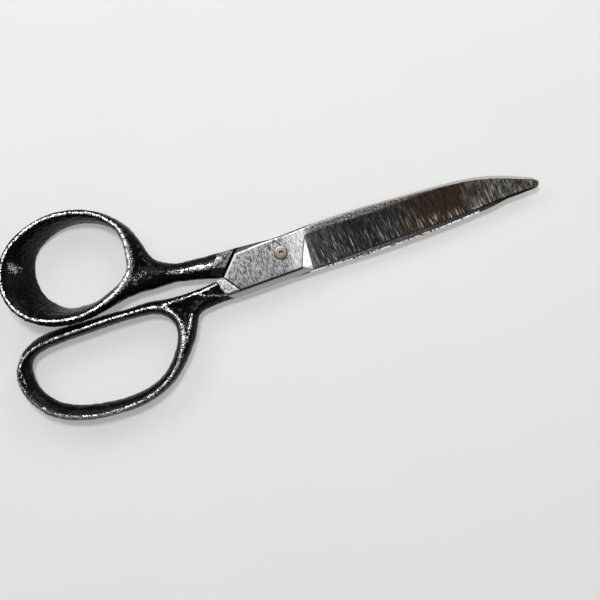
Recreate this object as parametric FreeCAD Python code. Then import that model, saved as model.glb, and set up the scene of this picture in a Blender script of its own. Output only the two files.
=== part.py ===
"""Fabric shears, 8 inch pattern: two steel blades, two cast handles welded to them, one pivot rivet and its burr.

Frame: +X along the closed blades towards the tip, +Y across them towards the thumb bow, +Z up out of the flat side
that carries the rivet head.  The origin is on the pivot axis, on the surface that the shears lie on.
Everything below is first made in the plane frame, where z = 0 is the plane in which the two halves meet; the last
step lifts it all by FLOOR.  The thumb half is written in its own mirrored frame (turned half a turn about X), so
that both blades come from the same function.
"""

import FreeCAD, Part  # noqa: E401  FreeCAD first
import math
import os

Vec = FreeCAD.Vector

# ---------------------------------------------------------------- driving dimensions, mm
FLOOR = 4.60          # height of the meeting plane above the surface the shears lie on
HALF_GAP = 0.04       # half of the running gap between the two halves
PLATE_T = 3.80        # thickness of each half at the pivot plate
TIP_T = 1.90          # thickness of each half at the tip, before grinding
EDGE_LAND = 0.34      # height of the ground face at the cutting edge
HOLLOW = 0.22         # sagitta of the hollow-ground outer face
RUNOUT_X = 10.3       # where the grinding wheel leaves the plate
RUNOUT_RISE = 0.78    # rise over run of the wheel's run-out
RAMP_DEG = 4.6        # slope of the flat between plate and shank
RAMP_LEN = 10.6       # how far that flat reaches from its ridge
INNER_R = 130.0       # radius of the shallow hollow of the inner faces

RIVET_R = 2.00        # rivet shank
RIVET_CLEAR = 0.04    # running clearance of the thumb half on the rivet
HEAD_R, HEAD_H = 2.60, 0.50
DIMPLE_R, DIMPLE_D = 0.72, 0.38
BURR_R, BURR_T = 3.30, 0.45
TAIL_R = 2.75

# closed outline of the finger (front) blade: x, lower outline, spine
FINGER_OUTLINE = [
    (-27.0, -11.95, 4.95), (-20.0, -11.75, 5.0), (-15.0, -11.4, 5.1), (-10.0, -11.0, 5.3), (-5.0, -10.6, 5.6),
    (0.0, -10.2, 5.95), (5.0, -9.75, 6.45), (10.0, -9.2, 7.0), (16.0, -8.6, 7.55), (22.0, -7.9, 7.95),
    (30.0, -7.1, 8.3), (45.0, -5.85, 8.6), (58.0, -4.75, 8.75), (67.0, -4.05, 8.7), (75.0, -3.4, 8.25),
    (81.0, -2.95, 7.35), (86.0, -2.55, 6.2), (90.5, -2.2, 4.85), (94.5, -1.8, 3.4), (97.2, -1.5, 2.15), (98.6, -1.15, 0.95),
]
# upper limit of the ground face of the finger blade
FINGER_GROUND = [
    (10.3, 3.9), (15.0, 4.45), (21.0, 4.85), (30.0, 5.15), (38.0, 5.5), (46.0, 6.2), (54.0, 7.0), (62.0, 7.6),
    (70.0, 7.5), (77.0, 6.9), (84.0, 5.6), (90.5, 3.7), (95.0, 2.1), (99.5, 0.2),
]
# the thumb (rear) blade, in its own mirrored frame: spine at +Y
THUMB_OUTLINE = [
    (-29.0, -6.15, 10.6), (-20.0, -6.2, 10.6), (-15.0, -6.2, 10.5), (-10.0, -6.15, 10.4), (-5.0, -6.05, 10.2),
    (0.0, -5.9, 10.05), (5.0, -5.75, 9.95), (10.0, -5.6, 9.75), (16.0, -5.25, 9.5), (22.0, -4.9, 9.3),
    (30.0, -4.4, 9.0), (45.0, -3.5, 8.05), (58.0, -2.7, 6.9), (67.0, -2.1, 5.85), (75.0, -1.6, 4.7),
    (81.0, -1.25, 3.75), (86.0, -0.9, 2.6), (90.5, -0.7, 1.9), (94.0, -0.5, 1.35), (96.5, -0.35, 0.95), (97.8, -0.2, 0.55),
]
THUMB_GROUND = [
    (10.3, 6.9), (15.0, 7.2), (21.0, 7.3), (30.0, 7.2), (38.0, 6.95), (46.0, 6.5), (54.0, 5.9), (62.0, 5.2),
    (70.0, 4.3), (77.0, 3.4), (84.0, 2.2), (90.5, 1.35), (95.0, 0.85), (99.5, 0.2),
]
# plan outlines that trim the blanks: slanted end of the plate, then the scarf where the handle is welded on
FINGER_KEEP = [(-3.6, 20.0), (-22.6, -3.4), (-25.4, -3.9), (-22.75, -12.6), (-22.7, -30.0), (110.0, -30.0), (110.0, 20.0)]
THUMB_KEEP = [(-3.6, 25.3), (-22.6, 2.2), (-25.0, 3.15), (-28.35, 3.1), (-21.3, -6.8), (-21.0, -30.0), (110.0, -30.0), (110.0, 25.3)]
# shoulders behind each blade, which the other half's plate closes against, each in its half's own frame
FINGER_SHOULDER = [(-15.9, -11.42), (-21.9, -3.75), (-25.4, -3.9), (-22.8, -11.85), (-20.0, -11.7)]
THUMB_SHOULDER = [(-16.2, -6.12), (-23.2, 3.0), (-25.0, 3.12), (-28.3, 3.05), (-21.55, -6.12)]
SHOULDER_T = 3.55
# ridge at the top of the ramp, and the direction in which the ramp falls
FINGER_RIDGE = [(-22.6, -3.5), (-17.7, -9.4)]
THUMB_RIDGE = [(-22.6, 2.0), (-17.7, -3.9)]

# finger bow: crest x, y, width outside the crest, width inside it, half height
FINGER_BOW = [
    (-50.0, -7.3, 2.4, 2.5, 4.3), (-58.0, -6.95, 2.0, 2.2, 4.4), (-66.0, -7.15, 2.1, 2.15, 4.5), (-74.0, -7.7, 2.5, 2.2, 4.55),
    (-82.0, -8.25, 2.9, 2.15, 4.57), (-90.0, -9.05, 3.3, 2.1, 4.57), (-97.2, -10.5, 2.6, 2.3, 4.57), (-102.0, -13.7, 1.9, 3.3, 4.57),
    (-104.4, -18.6, 1.8, 4.6, 4.57), (-104.0, -24.2, 1.8, 4.7, 4.57), (-101.3, -29.9, 1.9, 4.6, 4.57), (-96.3, -34.9, 1.7, 4.5, 4.57),
    (-89.8, -38.1, 1.6, 4.3, 4.57), (-82.0, -39.9, 1.45, 4.2, 4.57), (-74.0, -40.3, 1.4, 3.8, 4.57), (-66.0, -39.8, 1.5, 3.5, 4.55),
    (-58.3, -37.8, 1.7, 3.1, 4.5), (-51.7, -34.1, 2.0, 2.75, 4.45), (-46.6, -28.8, 2.3, 2.5, 4.4), (-43.5, -22.6, 2.5, 2.2, 4.35),
    (-42.2, -16.4, 2.4, 2.4, 4.3), (-44.2, -10.9, 2.4, 2.6, 4.3),
]
BOW_POWER = 1.75      # below 2, the section of the bow has a ridge along its top
# finger shank: x, crest y, width above, width below, half height
FINGER_SHANK = [
    (-19.0, -7.0, 3.6, 4.7, 4.2), (-24.0, -6.8, 3.1, 5.1, 3.75), (-28.5, -6.7, 2.45, 5.35, 3.35), (-33.0, -6.7, 1.75, 5.4, 3.0),
    (-38.0, -6.8, 1.35, 4.4, 3.2), (-43.0, -7.2, 1.7, 3.4, 3.85), (-48.5, -7.3, 1.9, 2.1, 3.9), (-53.5, -7.1, 0.9, 1.1, 2.6),
]
# strut from shank to bow: x, y, half width, half height
FINGER_STRUT = [(-29.5, -9.6, 2.2, 3.0), (-34.0, -10.6, 2.6, 3.2), (-37.6, -13.6, 2.6, 3.5), (-39.6, -18.0, 2.6, 3.8), (-41.5, -22.2, 2.3, 3.8), (-43.9, -25.6, 1.1, 2.6)]

# thumb bow, in the frame of the whole: upper rim x, y, z; lower rim x, y, z; thickness inside and outside that line
THUMB_BOW = [
    (-54.4, 14.0, 5.0, -51.6, 14.5, -4.36, 1.75, 1.75), (-54.7, 22.2, 5.3, -53.0, 22.2, -4.36, 1.7, 1.8), (-58.0, 27.8, 5.7, -58.0, 27.2, -4.36, 1.8, 2.0),
    (-64.4, 32.2, 6.3, -65.9, 30.4, -4.36, 1.65, 2.1), (-74.7, 34.4, 7.1, -75.4, 30.8, -4.36, 1.55, 2.25), (-84.3, 33.2, 7.9, -83.7, 27.6, -4.36, 1.5, 2.3),
    (-93.3, 28.7, 8.5, -88.6, 23.4, -4.36, 1.5, 2.4), (-99.3, 21.8, 8.9, -90.6, 18.4, -4.36, 1.5, 2.5), (-101.1, 13.8, 9.0, -90.9, 13.1, -4.36, 1.5, 2.5),
    (-99.5, 6.7, 8.9, -89.8, 8.4, -4.36, 1.5, 2.6), (-94.9, 1.1, 8.5, -87.3, 4.6, -4.36, 1.5, 2.8), (-87.4, -2.3, 7.9, -82.9, 1.0, -4.36, 1.5, 3.3),
    (-78.6, -3.4, 7.1, -76.9, -0.4, -4.36, 1.55, 3.0), (-70.4, -2.0, 6.4, -69.6, -0.3, -4.36, 1.7, 2.9), (-62.6, 1.4, 5.7, -61.6, 1.5, -4.36, 1.95, 2.6),
    (-56.3, 6.8, 5.1, -54.0, 7.0, -4.36, 1.95, 2.1),
]
# thumb shank: x, crest y, width above, width below, half height
THUMB_SHANK = [
    (-18.0, 2.0, 4.2, 5.2, 3.9), (-24.0, 2.2, 3.9, 5.4, 3.6), (-30.0, 2.4, 3.7, 4.35, 3.2), (-36.0, 2.95, 3.3, 3.9, 3.1),
    (-42.0, 3.5, 3.1, 3.45, 3.4), (-48.0, 4.2, 3.6, 4.4, 3.9), (-53.4, 5.0, 2.7, 3.9, 3.1),
]
# webs from the thumb shank under the bow and up behind it: x, y, half width, half height
THUMB_WEB = [(-44.0, 3.4, 3.0, 3.6), (-50.0, 2.6, 2.7, 3.9), (-56.0, 1.6, 2.4, 4.1), (-62.5, 0.5, 1.9, 4.0), (-67.0, -0.5, 0.9, 2.6)]
THUMB_HEEL = [(-41.5, 3.9, 2.2, 3.3), (-46.4, 6.9, 2.5, 3.8), (-49.4, 11.4, 2.3, 4.1), (-51.4, 17.0, 2.1, 4.1), (-53.6, 22.0, 1.1, 2.8)]


# ---------------------------------------------------------------- helpers
def lin(table, x, k):
    """Smooth-enough reading of column k of a table sorted by x."""
    if x <= table[0][0]:
        a, b = table[0], table[1]
    elif x >= table[-1][0]:
        a, b = table[-2], table[-1]
    else:
        for a, b in zip(table, table[1:]):
            if a[0] <= x <= b[0]:
                break
    f = (x - a[0]) / (b[0] - a[0])
    return a[k] + f * (b[k] - a[k])


def periodic_poles(values):
    """Control values of the uniform periodic cubic B-spline that passes through values (tuples)."""
    n, dim = len(values), len(values[0])
    p = [list(v) for v in values]
    for _ in range(80):
        for i in range(n):
            a, b = p[i - 1], p[(i + 1) % n]
            for k in range(dim):
                p[i][k] = (6 * values[i][k] - a[k] - b[k]) / 4
    return p


def periodic_at(poles, u):
    n = len(poles)
    i, t = int(math.floor(u)) % n, u - math.floor(u)
    w = ((1 - t) ** 3 / 6, (3 * t**3 - 6 * t**2 + 4) / 6, (-3 * t**3 + 3 * t**2 + 3 * t + 1) / 6, t**3 / 6)
    return [sum(w[m] * poles[(i - 1 + m) % n][k] for m in range(4)) for k in range(len(poles[0]))]


def superpoint(angle, power):
    c, s = math.cos(angle), math.sin(angle)
    return math.copysign(abs(c) ** (2 / power), c), math.copysign(abs(s) ** (2 / power), s)


def torus_solid(rows):
    """A solid ring through a closed grid of points, one doubly periodic surface."""
    nu, nv = len(rows), len(rows[0])
    across = [periodic_poles([(p.x, p.y, p.z) for p in row]) for row in rows]
    poles = [[None] * nv for _ in range(nu)]
    for j in range(nv):
        col = periodic_poles([across[i][j] for i in range(nu)])
        for i in range(nu):
            poles[i][j] = Vec(*col[i])
    s = Part.BSplineSurface()
    s.buildFromPolesMultsKnots(
        poles, [1] * (nu + 1), [1] * (nv + 1), [float(i) for i in range(nu + 1)], [float(j) for j in range(nv + 1)], True, True, 3, 3
    )
    solid = Part.Solid(Part.Shell([s.toShape()]))
    if solid.Volume < 0:
        solid.reverse()
    return solid


def section_wire(points):
    c = Part.BSplineCurve()
    c.interpolate(Points=points, PeriodicFlag=True)
    return Part.Wire([c.toShape()])


def lens_points(centre, out, up, w_out, w_in, h, power, n=16):
    pts = []
    for k in range(n):
        a, b = superpoint(2 * math.pi * (k + 0.5) / n, power)
        pts.append(centre + out * (a * (w_out if a > 0 else w_in)) + up * (b * h))
    return pts


def bow_rows(table, power, rows=30, n=16):
    """Rows of a bow in the plan plane: each crest point carries an upright lens section."""
    poles, out = periodic_poles(table), []
    for r in range(rows):
        u = r * len(table) / rows
        x, y, wo, wi, h = periodic_at(poles, u)
        x2, y2 = periodic_at(poles, u + 0.02)[:2]
        t = Vec(x2 - x, y2 - y, 0).normalize()
        out.append(lens_points(Vec(x, y, 0), Vec(-t.y, t.x, 0) * BOW_SIDE, Vec(0, 0, 1), wo, wi, h, power, n))
    return out


BOW_SIDE = -1.0       # the bow tables run anticlockwise, so outwards is to the right of the path


def loft_solid(wires):
    s = Part.makeLoft(wires, True, False)
    if s.Volume < 0:
        s.reverse()
    return s


def prism(points, z0, z1):
    f = Part.Face(Part.makePolygon([Vec(x, y, z0) for x, y in points] + [Vec(points[0][0], points[0][1], z0)]))
    return f.extrude(Vec(0, 0, z1 - z0))


def half_space(ridge, slope_deg, z_at_ridge, up=True):
    """A block above the plane that holds the ridge line at z_at_ridge and falls away to its left."""
    (x1, y1), (x2, y2) = ridge
    along = Vec(x2 - x1, y2 - y1, 0).normalize()
    fall = Vec(along.y, -along.x, 0)          # to the left of the plate, towards the shank
    if fall.x > 0:
        fall = fall * -1
    d = math.tan(math.radians(slope_deg))
    mid = Vec((x1 + x2) / 2, (y1 + y2) / 2, z_at_ridge)
    corners = []
    for a, f in ((-40, 0), (40, 0), (40, RAMP_LEN), (-40, RAMP_LEN)):
        corners.append(mid + along * a + fall * f + Vec(0, 0, -d * f))
    return Part.Face(Part.makePolygon(corners + [corners[0]])).extrude(Vec(0, 0, 12))


# ---------------------------------------------------------------- blades
def thickness(x):
    if x <= RUNOUT_X:
        return PLATE_T
    return PLATE_T + (TIP_T - PLATE_T) * (x - RUNOUT_X) / (98.6 - RUNOUT_X)


def blank(outline):
    wires = []
    for x, yb, yt in outline:
        t, w = thickness(x), yt - yb
        bevel = min(2.05, 0.30 * w)
        ch = min(0.62, 0.16 * w)
        if x > 40:
            ch = min(ch + 0.010 * (x - 40), 0.17 * w)
        pts = [
            Vec(x, yb, HALF_GAP), Vec(x, yb, HALF_GAP + 0.26), Vec(x, yb + bevel, t), Vec(x, yt - ch, t),
            Vec(x, yt, t - ch * 1.15), Vec(x, yt, HALF_GAP),
        ]
        wires.append(Part.makePolygon(pts + [pts[0]]))
    return loft_solid(wires)


def grind_profile(x, outline, ground):
    yc, yg = lin(outline, x, 1), lin(ground, x, 1)
    t = thickness(x)
    slope = (t - EDGE_LAND) / (yg - yc)
    sag = HOLLOW * min(1.0, (yg - yc) / 10.0)
    pts = []
    for f in (-0.28, 0.0, 0.25, 0.5, 0.75, 1.0, 1.2):
        y = yc + f * (yg - yc)
        pts.append(Vec(x, y, EDGE_LAND + slope * (y - yc) - sag * 4 * f * (1 - f)))
    return pts


def grind_tool(outline, ground):
    """What the wheel takes away: a loft above the hollow-ground face, and the run-out at the plate."""
    wires = []
    for x in (RUNOUT_X, 16.0, 22.0, 30.0, 38.0, 46.0, 54.0, 62.0, 70.0, 77.0, 84.0, 90.5, 95.0, 100.0):
        pts = grind_profile(x, outline, ground)
        c = Part.BSplineCurve()
        c.interpolate(pts)
        a, b = pts[0], pts[-1]
        ta, tb = Vec(a.x, a.y, 9.0), Vec(b.x, b.y, 9.0)
        wires.append(Part.Wire([c.toShape(), Part.LineSegment(b, tb).toShape(), Part.LineSegment(tb, ta).toShape(), Part.LineSegment(ta, a).toShape()]))
    face = loft_solid(wires)
    first = Part.Face(wires[0])
    run_out = first.extrude(Vec(-9.0, 0, 9.0 * RUNOUT_RISE))
    if run_out.Volume < 0:
        run_out.reverse()
    return face, run_out


def inner_hollow(outline):
    """Very shallow cylinder along the inner face, deep at the pivot end and gone before the tip."""
    x0, x1 = 15.0, 94.0
    d0, d1 = 0.17, 0.010
    y0 = (lin(outline, x0, 1) + lin(outline, x0, 2)) / 2
    y1 = (lin(outline, x1, 1) + lin(outline, x1, 2)) / 2
    a = Vec(x0, y0, HALF_GAP + d0 - INNER_R)
    b = Vec(x1, y1, HALF_GAP + d1 - INNER_R)
    return Part.makeCylinder(INNER_R, (b - a).Length, a, b - a)


def make_blade(outline, ground, keep, shoulder, ridge, hole_r):
    body = blank(outline)
    face, run_out = grind_tool(outline, ground)
    body = body.cut(face).cut(run_out).cut(Part.makeBox(60, 60, 5, Vec(-40, -30, PLATE_T)))
    body = body.common(prism(keep, -1.0, 12.0))
    body = body.cut(inner_hollow(outline))
    body = body.fuse(prism(shoulder, -SHOULDER_T, HALF_GAP + 0.6))
    body = body.cut(half_space(ridge, RAMP_DEG, PLATE_T))
    body = body.cut(Part.makeCylinder(hole_r, 20, Vec(0, 0, -10)))
    return body.removeSplitter()


def one_solid(shape, name):
    solids = [s for s in shape.Solids if s.Volume > 0.5]
    if len(solids) != 1:
        print("warning:", name, "has", len(shape.Solids), "solids", [round(s.Volume, 2) for s in shape.Solids])
    return solids[0] if len(solids) == 1 else Part.makeCompound(solids)


TURN = FreeCAD.Placement(Vec(0, 0, 0), FreeCAD.Rotation(Vec(1, 0, 0), 180))


def turned(shape):
    s = shape.copy()
    s.Placement = TURN.multiply(s.Placement)
    return s


def tube_loft(table, path_dir=None, power=2.3):
    """Loft of lens sections along x: x, crest y, width above, width below, half height."""
    wires = []
    for x, y, wu, wd, h in table:
        wires.append(section_wire(lens_points(Vec(x, y, 0), Vec(0, 1, 0), Vec(0, 0, 1), wu, wd, h, power)))
    return loft_solid(wires)


def arm_loft(table, power=2.1):
    """Loft of lens sections square to a plan path: x, y, half width, half height."""
    wires = []
    for i, (x, y, w, h) in enumerate(table):
        a, b = table[max(i - 1, 0)], table[min(i + 1, len(table) - 1)]
        t = Vec(b[0] - a[0], b[1] - a[1], 0).normalize()
        wires.append(section_wire(lens_points(Vec(x, y, 0), Vec(-t.y, t.x, 0), Vec(0, 0, 1), w, w, h, power)))
    return loft_solid(wires)


def scarf(keep, first, last):
    """Everything on the handle's side of the weld line keep[first]..keep[last], as a prism."""
    (x1, y1), (x2, y2) = keep[first], keep[last]
    dx, dy = x2 - x1, y2 - y1
    n = math.hypot(dx, dy)
    dx, dy = dx / n, dy / n
    p1, p2 = (x1 - dx * 40, y1 - dy * 40), (x2 + dx * 40, y2 + dy * 40)
    return prism([p1, p2, (p2[0] - 200, p2[1]), (p1[0] - 200, p1[1])], -12.0, 14.0)


def main():
    os.makedirs("parts", exist_ok=True)
    parts = {}

    parts["finger_blade"] = one_solid(make_blade(FINGER_OUTLINE, FINGER_GROUND, FINGER_KEEP, FINGER_SHOULDER, FINGER_RIDGE, RIVET_R), "finger_blade")
    thumb_blade = make_blade(THUMB_OUTLINE, THUMB_GROUND, THUMB_KEEP, THUMB_SHOULDER, THUMB_RIDGE, RIVET_R + RIVET_CLEAR)
    parts["thumb_blade"] = one_solid(turned(thumb_blade), "thumb_blade")

    # finger handle: bow, shank and strut, trimmed at the weld and flattened by the ramp
    bow = torus_solid(bow_rows(FINGER_BOW, BOW_POWER))
    handle = bow.fuse([tube_loft(FINGER_SHANK), arm_loft(FINGER_STRUT)])
    handle = handle.common(scarf(FINGER_KEEP, 2, 3)).cut(half_space(FINGER_RIDGE, RAMP_DEG, PLATE_T))
    parts["finger_handle"] = one_solid(handle, "finger_handle")

    # thumb handle
    poles, rows, nrows, n = periodic_poles(THUMB_BOW), [], 28, 16
    for r in range(nrows):
        u = r * len(THUMB_BOW) / nrows
        fx, fy, fz, bx, by, bz, t, t_out = periodic_at(poles, u)
        q = periodic_at(poles, u + 0.02)
        tan = Vec(q[0] + q[3] - fx - bx, q[1] + q[4] - fy - by, q[2] + q[5] - fz - bz).normalize()
        F, B = Vec(fx, fy, fz), Vec(bx, by, bz)
        up = F - B
        half = up.Length / 2
        up = up.normalize()
        out = up.cross(tan).normalize() * -1
        if out.dot(Vec(fx + 76, fy - 15, 0)) < 0:
            out = out * -1
        rows.append(lens_points((F + B) * 0.5, out, up, t_out, t, half, 2.2, n))
    ring = torus_solid(rows)
    handle = ring.fuse([tube_loft(THUMB_SHANK), arm_loft(THUMB_WEB), arm_loft(THUMB_HEEL)])
    keep_top = [(x, -y) for x, y in THUMB_KEEP]
    handle = handle.common(scarf(keep_top, 3, 4))
    handle = handle.cut(turned(half_space(THUMB_RIDGE, RAMP_DEG, PLATE_T)))
    parts["thumb_handle"] = one_solid(handle, "thumb_handle")

    # pivot rivet: flat head with a centre mark above, shank through both blades, flat tail closed over the burr
    rivet = Part.makeCylinder(RIVET_R, FLOOR + PLATE_T, Vec(0, 0, -FLOOR))
    head = Part.makeCylinder(HEAD_R, HEAD_H, Vec(0, 0, PLATE_T))
    head = head.makeChamfer(0.16, [e for e in head.Edges if e.BoundBox.ZMin > PLATE_T + HEAD_H - 0.01 and e.BoundBox.ZLength < 0.01])
    tail_top = -PLATE_T - 0.03 - BURR_T
    tail = Part.makeCylinder(TAIL_R, FLOOR + tail_top, Vec(0, 0, -FLOOR))
    tail = tail.makeChamfer(0.14, [e for e in tail.Edges if e.BoundBox.ZMax < -FLOOR + 0.01 and e.BoundBox.ZLength < 0.01])
    rivet = rivet.fuse([head, tail])
    rivet = rivet.cut(Part.makeCone(0.30, DIMPLE_R, DIMPLE_D, Vec(0, 0, PLATE_T + HEAD_H - DIMPLE_D)))
    parts["pivot_rivet"] = one_solid(rivet.removeSplitter(), "pivot_rivet")
    burr = Part.makeCylinder(BURR_R, BURR_T, Vec(0, 0, tail_top)).cut(Part.makeCylinder(RIVET_R, 4, Vec(0, 0, -6)))
    parts["rivet_burr"] = one_solid(burr, "rivet_burr")

    for name, shape in parts.items():
        shape.translate(Vec(0, 0, FLOOR))
        b = shape.optimalBoundingBox(False)
        print(f"{name:14s} valid {shape.isValid()} closed {all(s.Shells[0].isClosed() for s in shape.Solids)} volume {shape.Volume:9.1f} "
              f"x {b.XMin:8.2f} {b.XMax:8.2f} y {b.YMin:7.2f} {b.YMax:7.2f} z {b.ZMin:6.3f} {b.ZMax:6.3f} faces {len(shape.Faces)}")
        shape.exportStep(os.path.join("parts", name + ".step"))


main()
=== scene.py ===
"""Fabric shears: the looks.  Two ground steel blades with a hollow face, two black enamelled cast handles, a rivet and its burr.

All shape work is in millimetres in the plane frame of the part: origin on the pivot axis, z = 0 where the two halves
meet, +X to the tip, +Y to the thumb bow.  put() lifts it to the row frame, in metres.
"""
import math

import bmesh
import bpy
import numpy as np
from mathutils import Matrix, Vector


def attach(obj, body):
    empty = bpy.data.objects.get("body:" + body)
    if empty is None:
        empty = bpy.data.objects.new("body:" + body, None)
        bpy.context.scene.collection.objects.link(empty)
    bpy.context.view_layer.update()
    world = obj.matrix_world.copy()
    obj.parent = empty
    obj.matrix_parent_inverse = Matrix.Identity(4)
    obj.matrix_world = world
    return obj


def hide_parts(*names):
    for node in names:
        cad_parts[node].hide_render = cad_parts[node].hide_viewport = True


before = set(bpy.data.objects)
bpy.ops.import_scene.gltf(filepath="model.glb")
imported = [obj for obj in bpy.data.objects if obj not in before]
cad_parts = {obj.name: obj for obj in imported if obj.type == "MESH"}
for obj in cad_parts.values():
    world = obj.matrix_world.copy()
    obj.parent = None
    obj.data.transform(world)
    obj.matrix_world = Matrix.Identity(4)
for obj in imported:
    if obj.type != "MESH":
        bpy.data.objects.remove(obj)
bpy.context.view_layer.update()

# ------------------------------------------------------------------ dimensions shared with the CAD part, mm
FLOOR = 4.60
GAP = 0.04
PLATE_T, TIP_T = 3.80, 1.90
EDGE_LAND, HOLLOW = 0.34, 0.22
RUNOUT_X, RUNOUT_RISE = 10.3, 0.78
RAMP = math.tan(math.radians(4.6))
RAMP_LEN = 10.6

FINGER_OUTLINE = [
    (-27.0, -11.95, 4.95), (-20.0, -11.75, 5.0), (-15.0, -11.4, 5.1), (-10.0, -11.0, 5.3), (-5.0, -10.6, 5.6),
    (0.0, -10.2, 5.95), (5.0, -9.75, 6.45), (10.0, -9.2, 7.0), (16.0, -8.6, 7.55), (22.0, -7.9, 7.95),
    (30.0, -7.1, 8.3), (45.0, -5.85, 8.6), (58.0, -4.75, 8.75), (67.0, -4.05, 8.7), (75.0, -3.4, 8.25),
    (81.0, -2.95, 7.35), (86.0, -2.55, 6.2), (90.5, -2.2, 4.85), (94.5, -1.8, 3.4), (97.2, -1.5, 2.15), (98.6, -1.15, 0.95),
]
FINGER_GROUND = [
    (10.3, 3.9), (15.0, 4.45), (21.0, 4.85), (30.0, 5.15), (38.0, 5.5), (46.0, 6.2), (54.0, 7.0), (62.0, 7.6),
    (70.0, 7.5), (77.0, 6.9), (84.0, 5.6), (90.5, 3.7), (95.0, 2.1), (99.5, 0.2),
]
THUMB_OUTLINE = [
    (-29.0, -6.15, 10.6), (-20.0, -6.2, 10.6), (-15.0, -6.2, 10.5), (-10.0, -6.15, 10.4), (-5.0, -6.05, 10.2),
    (0.0, -5.9, 10.05), (5.0, -5.75, 9.95), (10.0, -5.6, 9.75), (16.0, -5.25, 9.5), (22.0, -4.9, 9.3),
    (30.0, -4.4, 9.0), (45.0, -3.5, 8.05), (58.0, -2.7, 6.9), (67.0, -2.1, 5.85), (75.0, -1.6, 4.7),
    (81.0, -1.25, 3.75), (86.0, -0.9, 2.6), (90.5, -0.7, 1.9), (94.0, -0.5, 1.35), (96.5, -0.35, 0.95), (97.8, -0.2, 0.55),
]
THUMB_GROUND = [
    (10.3, 6.9), (15.0, 7.2), (21.0, 7.3), (30.0, 7.2), (38.0, 6.95), (46.0, 6.5), (54.0, 5.9), (62.0, 5.2),
    (70.0, 4.3), (77.0, 3.4), (84.0, 2.2), (90.5, 1.35), (95.0, 0.85), (99.5, 0.2),
]
# left border of each blade in its own frame, bottom to top
FINGER_BORDER = [(-21.70, -11.80), (-25.60, -4.00), (-22.6, -3.4), (-15.7, 5.1)]
THUMB_BORDER = [(-21.73, -6.19), (-27.75, 2.22), (-22.6, 2.45), (-15.75, 10.6)]
FINGER_RIDGE = [(-22.6, -3.5), (-17.7, -9.4)]
THUMB_RIDGE = [(-22.6, 2.0), (-17.7, -3.9)]      # own frame

FINGER_BOW = [
    (-50.0, -7.3, 2.4, 2.5, 4.3), (-58.0, -6.95, 2.0, 2.2, 4.4), (-66.0, -7.15, 2.1, 2.15, 4.5), (-74.0, -7.7, 2.5, 2.2, 4.55),
    (-82.0, -8.25, 2.9, 2.15, 4.57), (-90.0, -9.05, 3.3, 2.1, 4.57), (-97.2, -10.5, 2.6, 2.3, 4.57), (-102.0, -13.7, 1.9, 3.3, 4.57),
    (-104.4, -18.6, 1.8, 4.6, 4.57), (-104.0, -24.2, 1.8, 4.7, 4.57), (-101.3, -29.9, 1.9, 4.6, 4.57), (-96.3, -34.9, 1.7, 4.5, 4.57),
    (-89.8, -38.1, 1.6, 4.3, 4.57), (-82.0, -39.9, 1.45, 4.2, 4.57), (-74.0, -40.3, 1.4, 3.8, 4.57), (-66.0, -39.8, 1.5, 3.5, 4.55),
    (-58.3, -37.8, 1.7, 3.1, 4.5), (-51.7, -34.1, 2.0, 2.75, 4.45), (-46.6, -28.8, 2.3, 2.5, 4.4), (-43.5, -22.6, 2.5, 2.2, 4.35),
    (-42.2, -16.4, 2.4, 2.4, 4.3), (-44.2, -10.9, 2.4, 2.6, 4.3),
]
FINGER_STRUT = [(-29.5, -9.6, 2.2, 3.0), (-34.0, -10.6, 2.6, 3.2), (-37.6, -13.6, 2.6, 3.5), (-39.6, -18.0, 2.6, 3.8), (-41.7, -22.3, 2.5, 3.9), (-44.6, -26.3, 2.1, 3.9), (-48.6, -30.2, 1.2, 3.4)]
THUMB_BOW = [
    (-54.4, 14.0, 5.0, -51.6, 14.5, -4.36, 1.75, 1.75), (-54.7, 22.2, 5.3, -53.0, 22.2, -4.36, 1.7, 1.8), (-58.0, 27.8, 5.7, -58.0, 27.2, -4.36, 1.8, 2.0),
    (-64.4, 32.2, 6.3, -65.9, 30.4, -4.36, 1.65, 2.1), (-74.7, 34.4, 7.1, -75.4, 30.8, -4.36, 1.55, 2.25), (-84.3, 33.2, 7.9, -83.7, 27.6, -4.36, 1.5, 2.3),
    (-93.3, 28.7, 8.5, -88.6, 23.4, -4.36, 1.5, 2.4), (-99.3, 21.8, 8.9, -90.6, 18.4, -4.36, 1.5, 2.5), (-101.1, 13.8, 9.0, -90.9, 13.1, -4.36, 1.5, 2.5),
    (-99.5, 6.7, 8.9, -89.8, 8.4, -4.36, 1.5, 2.6), (-94.9, 1.1, 8.5, -87.3, 4.6, -4.36, 1.5, 2.8), (-87.4, -2.3, 7.9, -82.9, 1.0, -4.36, 1.5, 3.3),
    (-78.6, -3.4, 7.1, -76.9, -0.4, -4.36, 1.55, 3.0), (-70.4, -2.0, 6.4, -69.6, -0.3, -4.36, 1.7, 2.9), (-62.6, 1.4, 5.7, -61.6, 1.5, -4.36, 1.95, 2.6),
    (-56.3, 6.8, 5.1, -54.0, 7.0, -4.36, 1.95, 2.1),
]
THUMB_WEB = [(-44.0, 3.4, 3.0, 3.3), (-50.0, 2.6, 2.7, 3.5), (-56.0, 1.6, 2.4, 3.5), (-62.5, 0.5, 1.9, 3.4), (-67.0, -0.5, 0.9, 2.4)]
THUMB_HEEL = [(-41.5, 3.9, 2.2, 3.1), (-46.4, 6.9, 2.5, 3.1), (-49.4, 11.4, 2.3, 2.9), (-51.4, 17.0, 2.1, 2.7), (-53.6, 22.0, 1.1, 2.0)]
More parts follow.
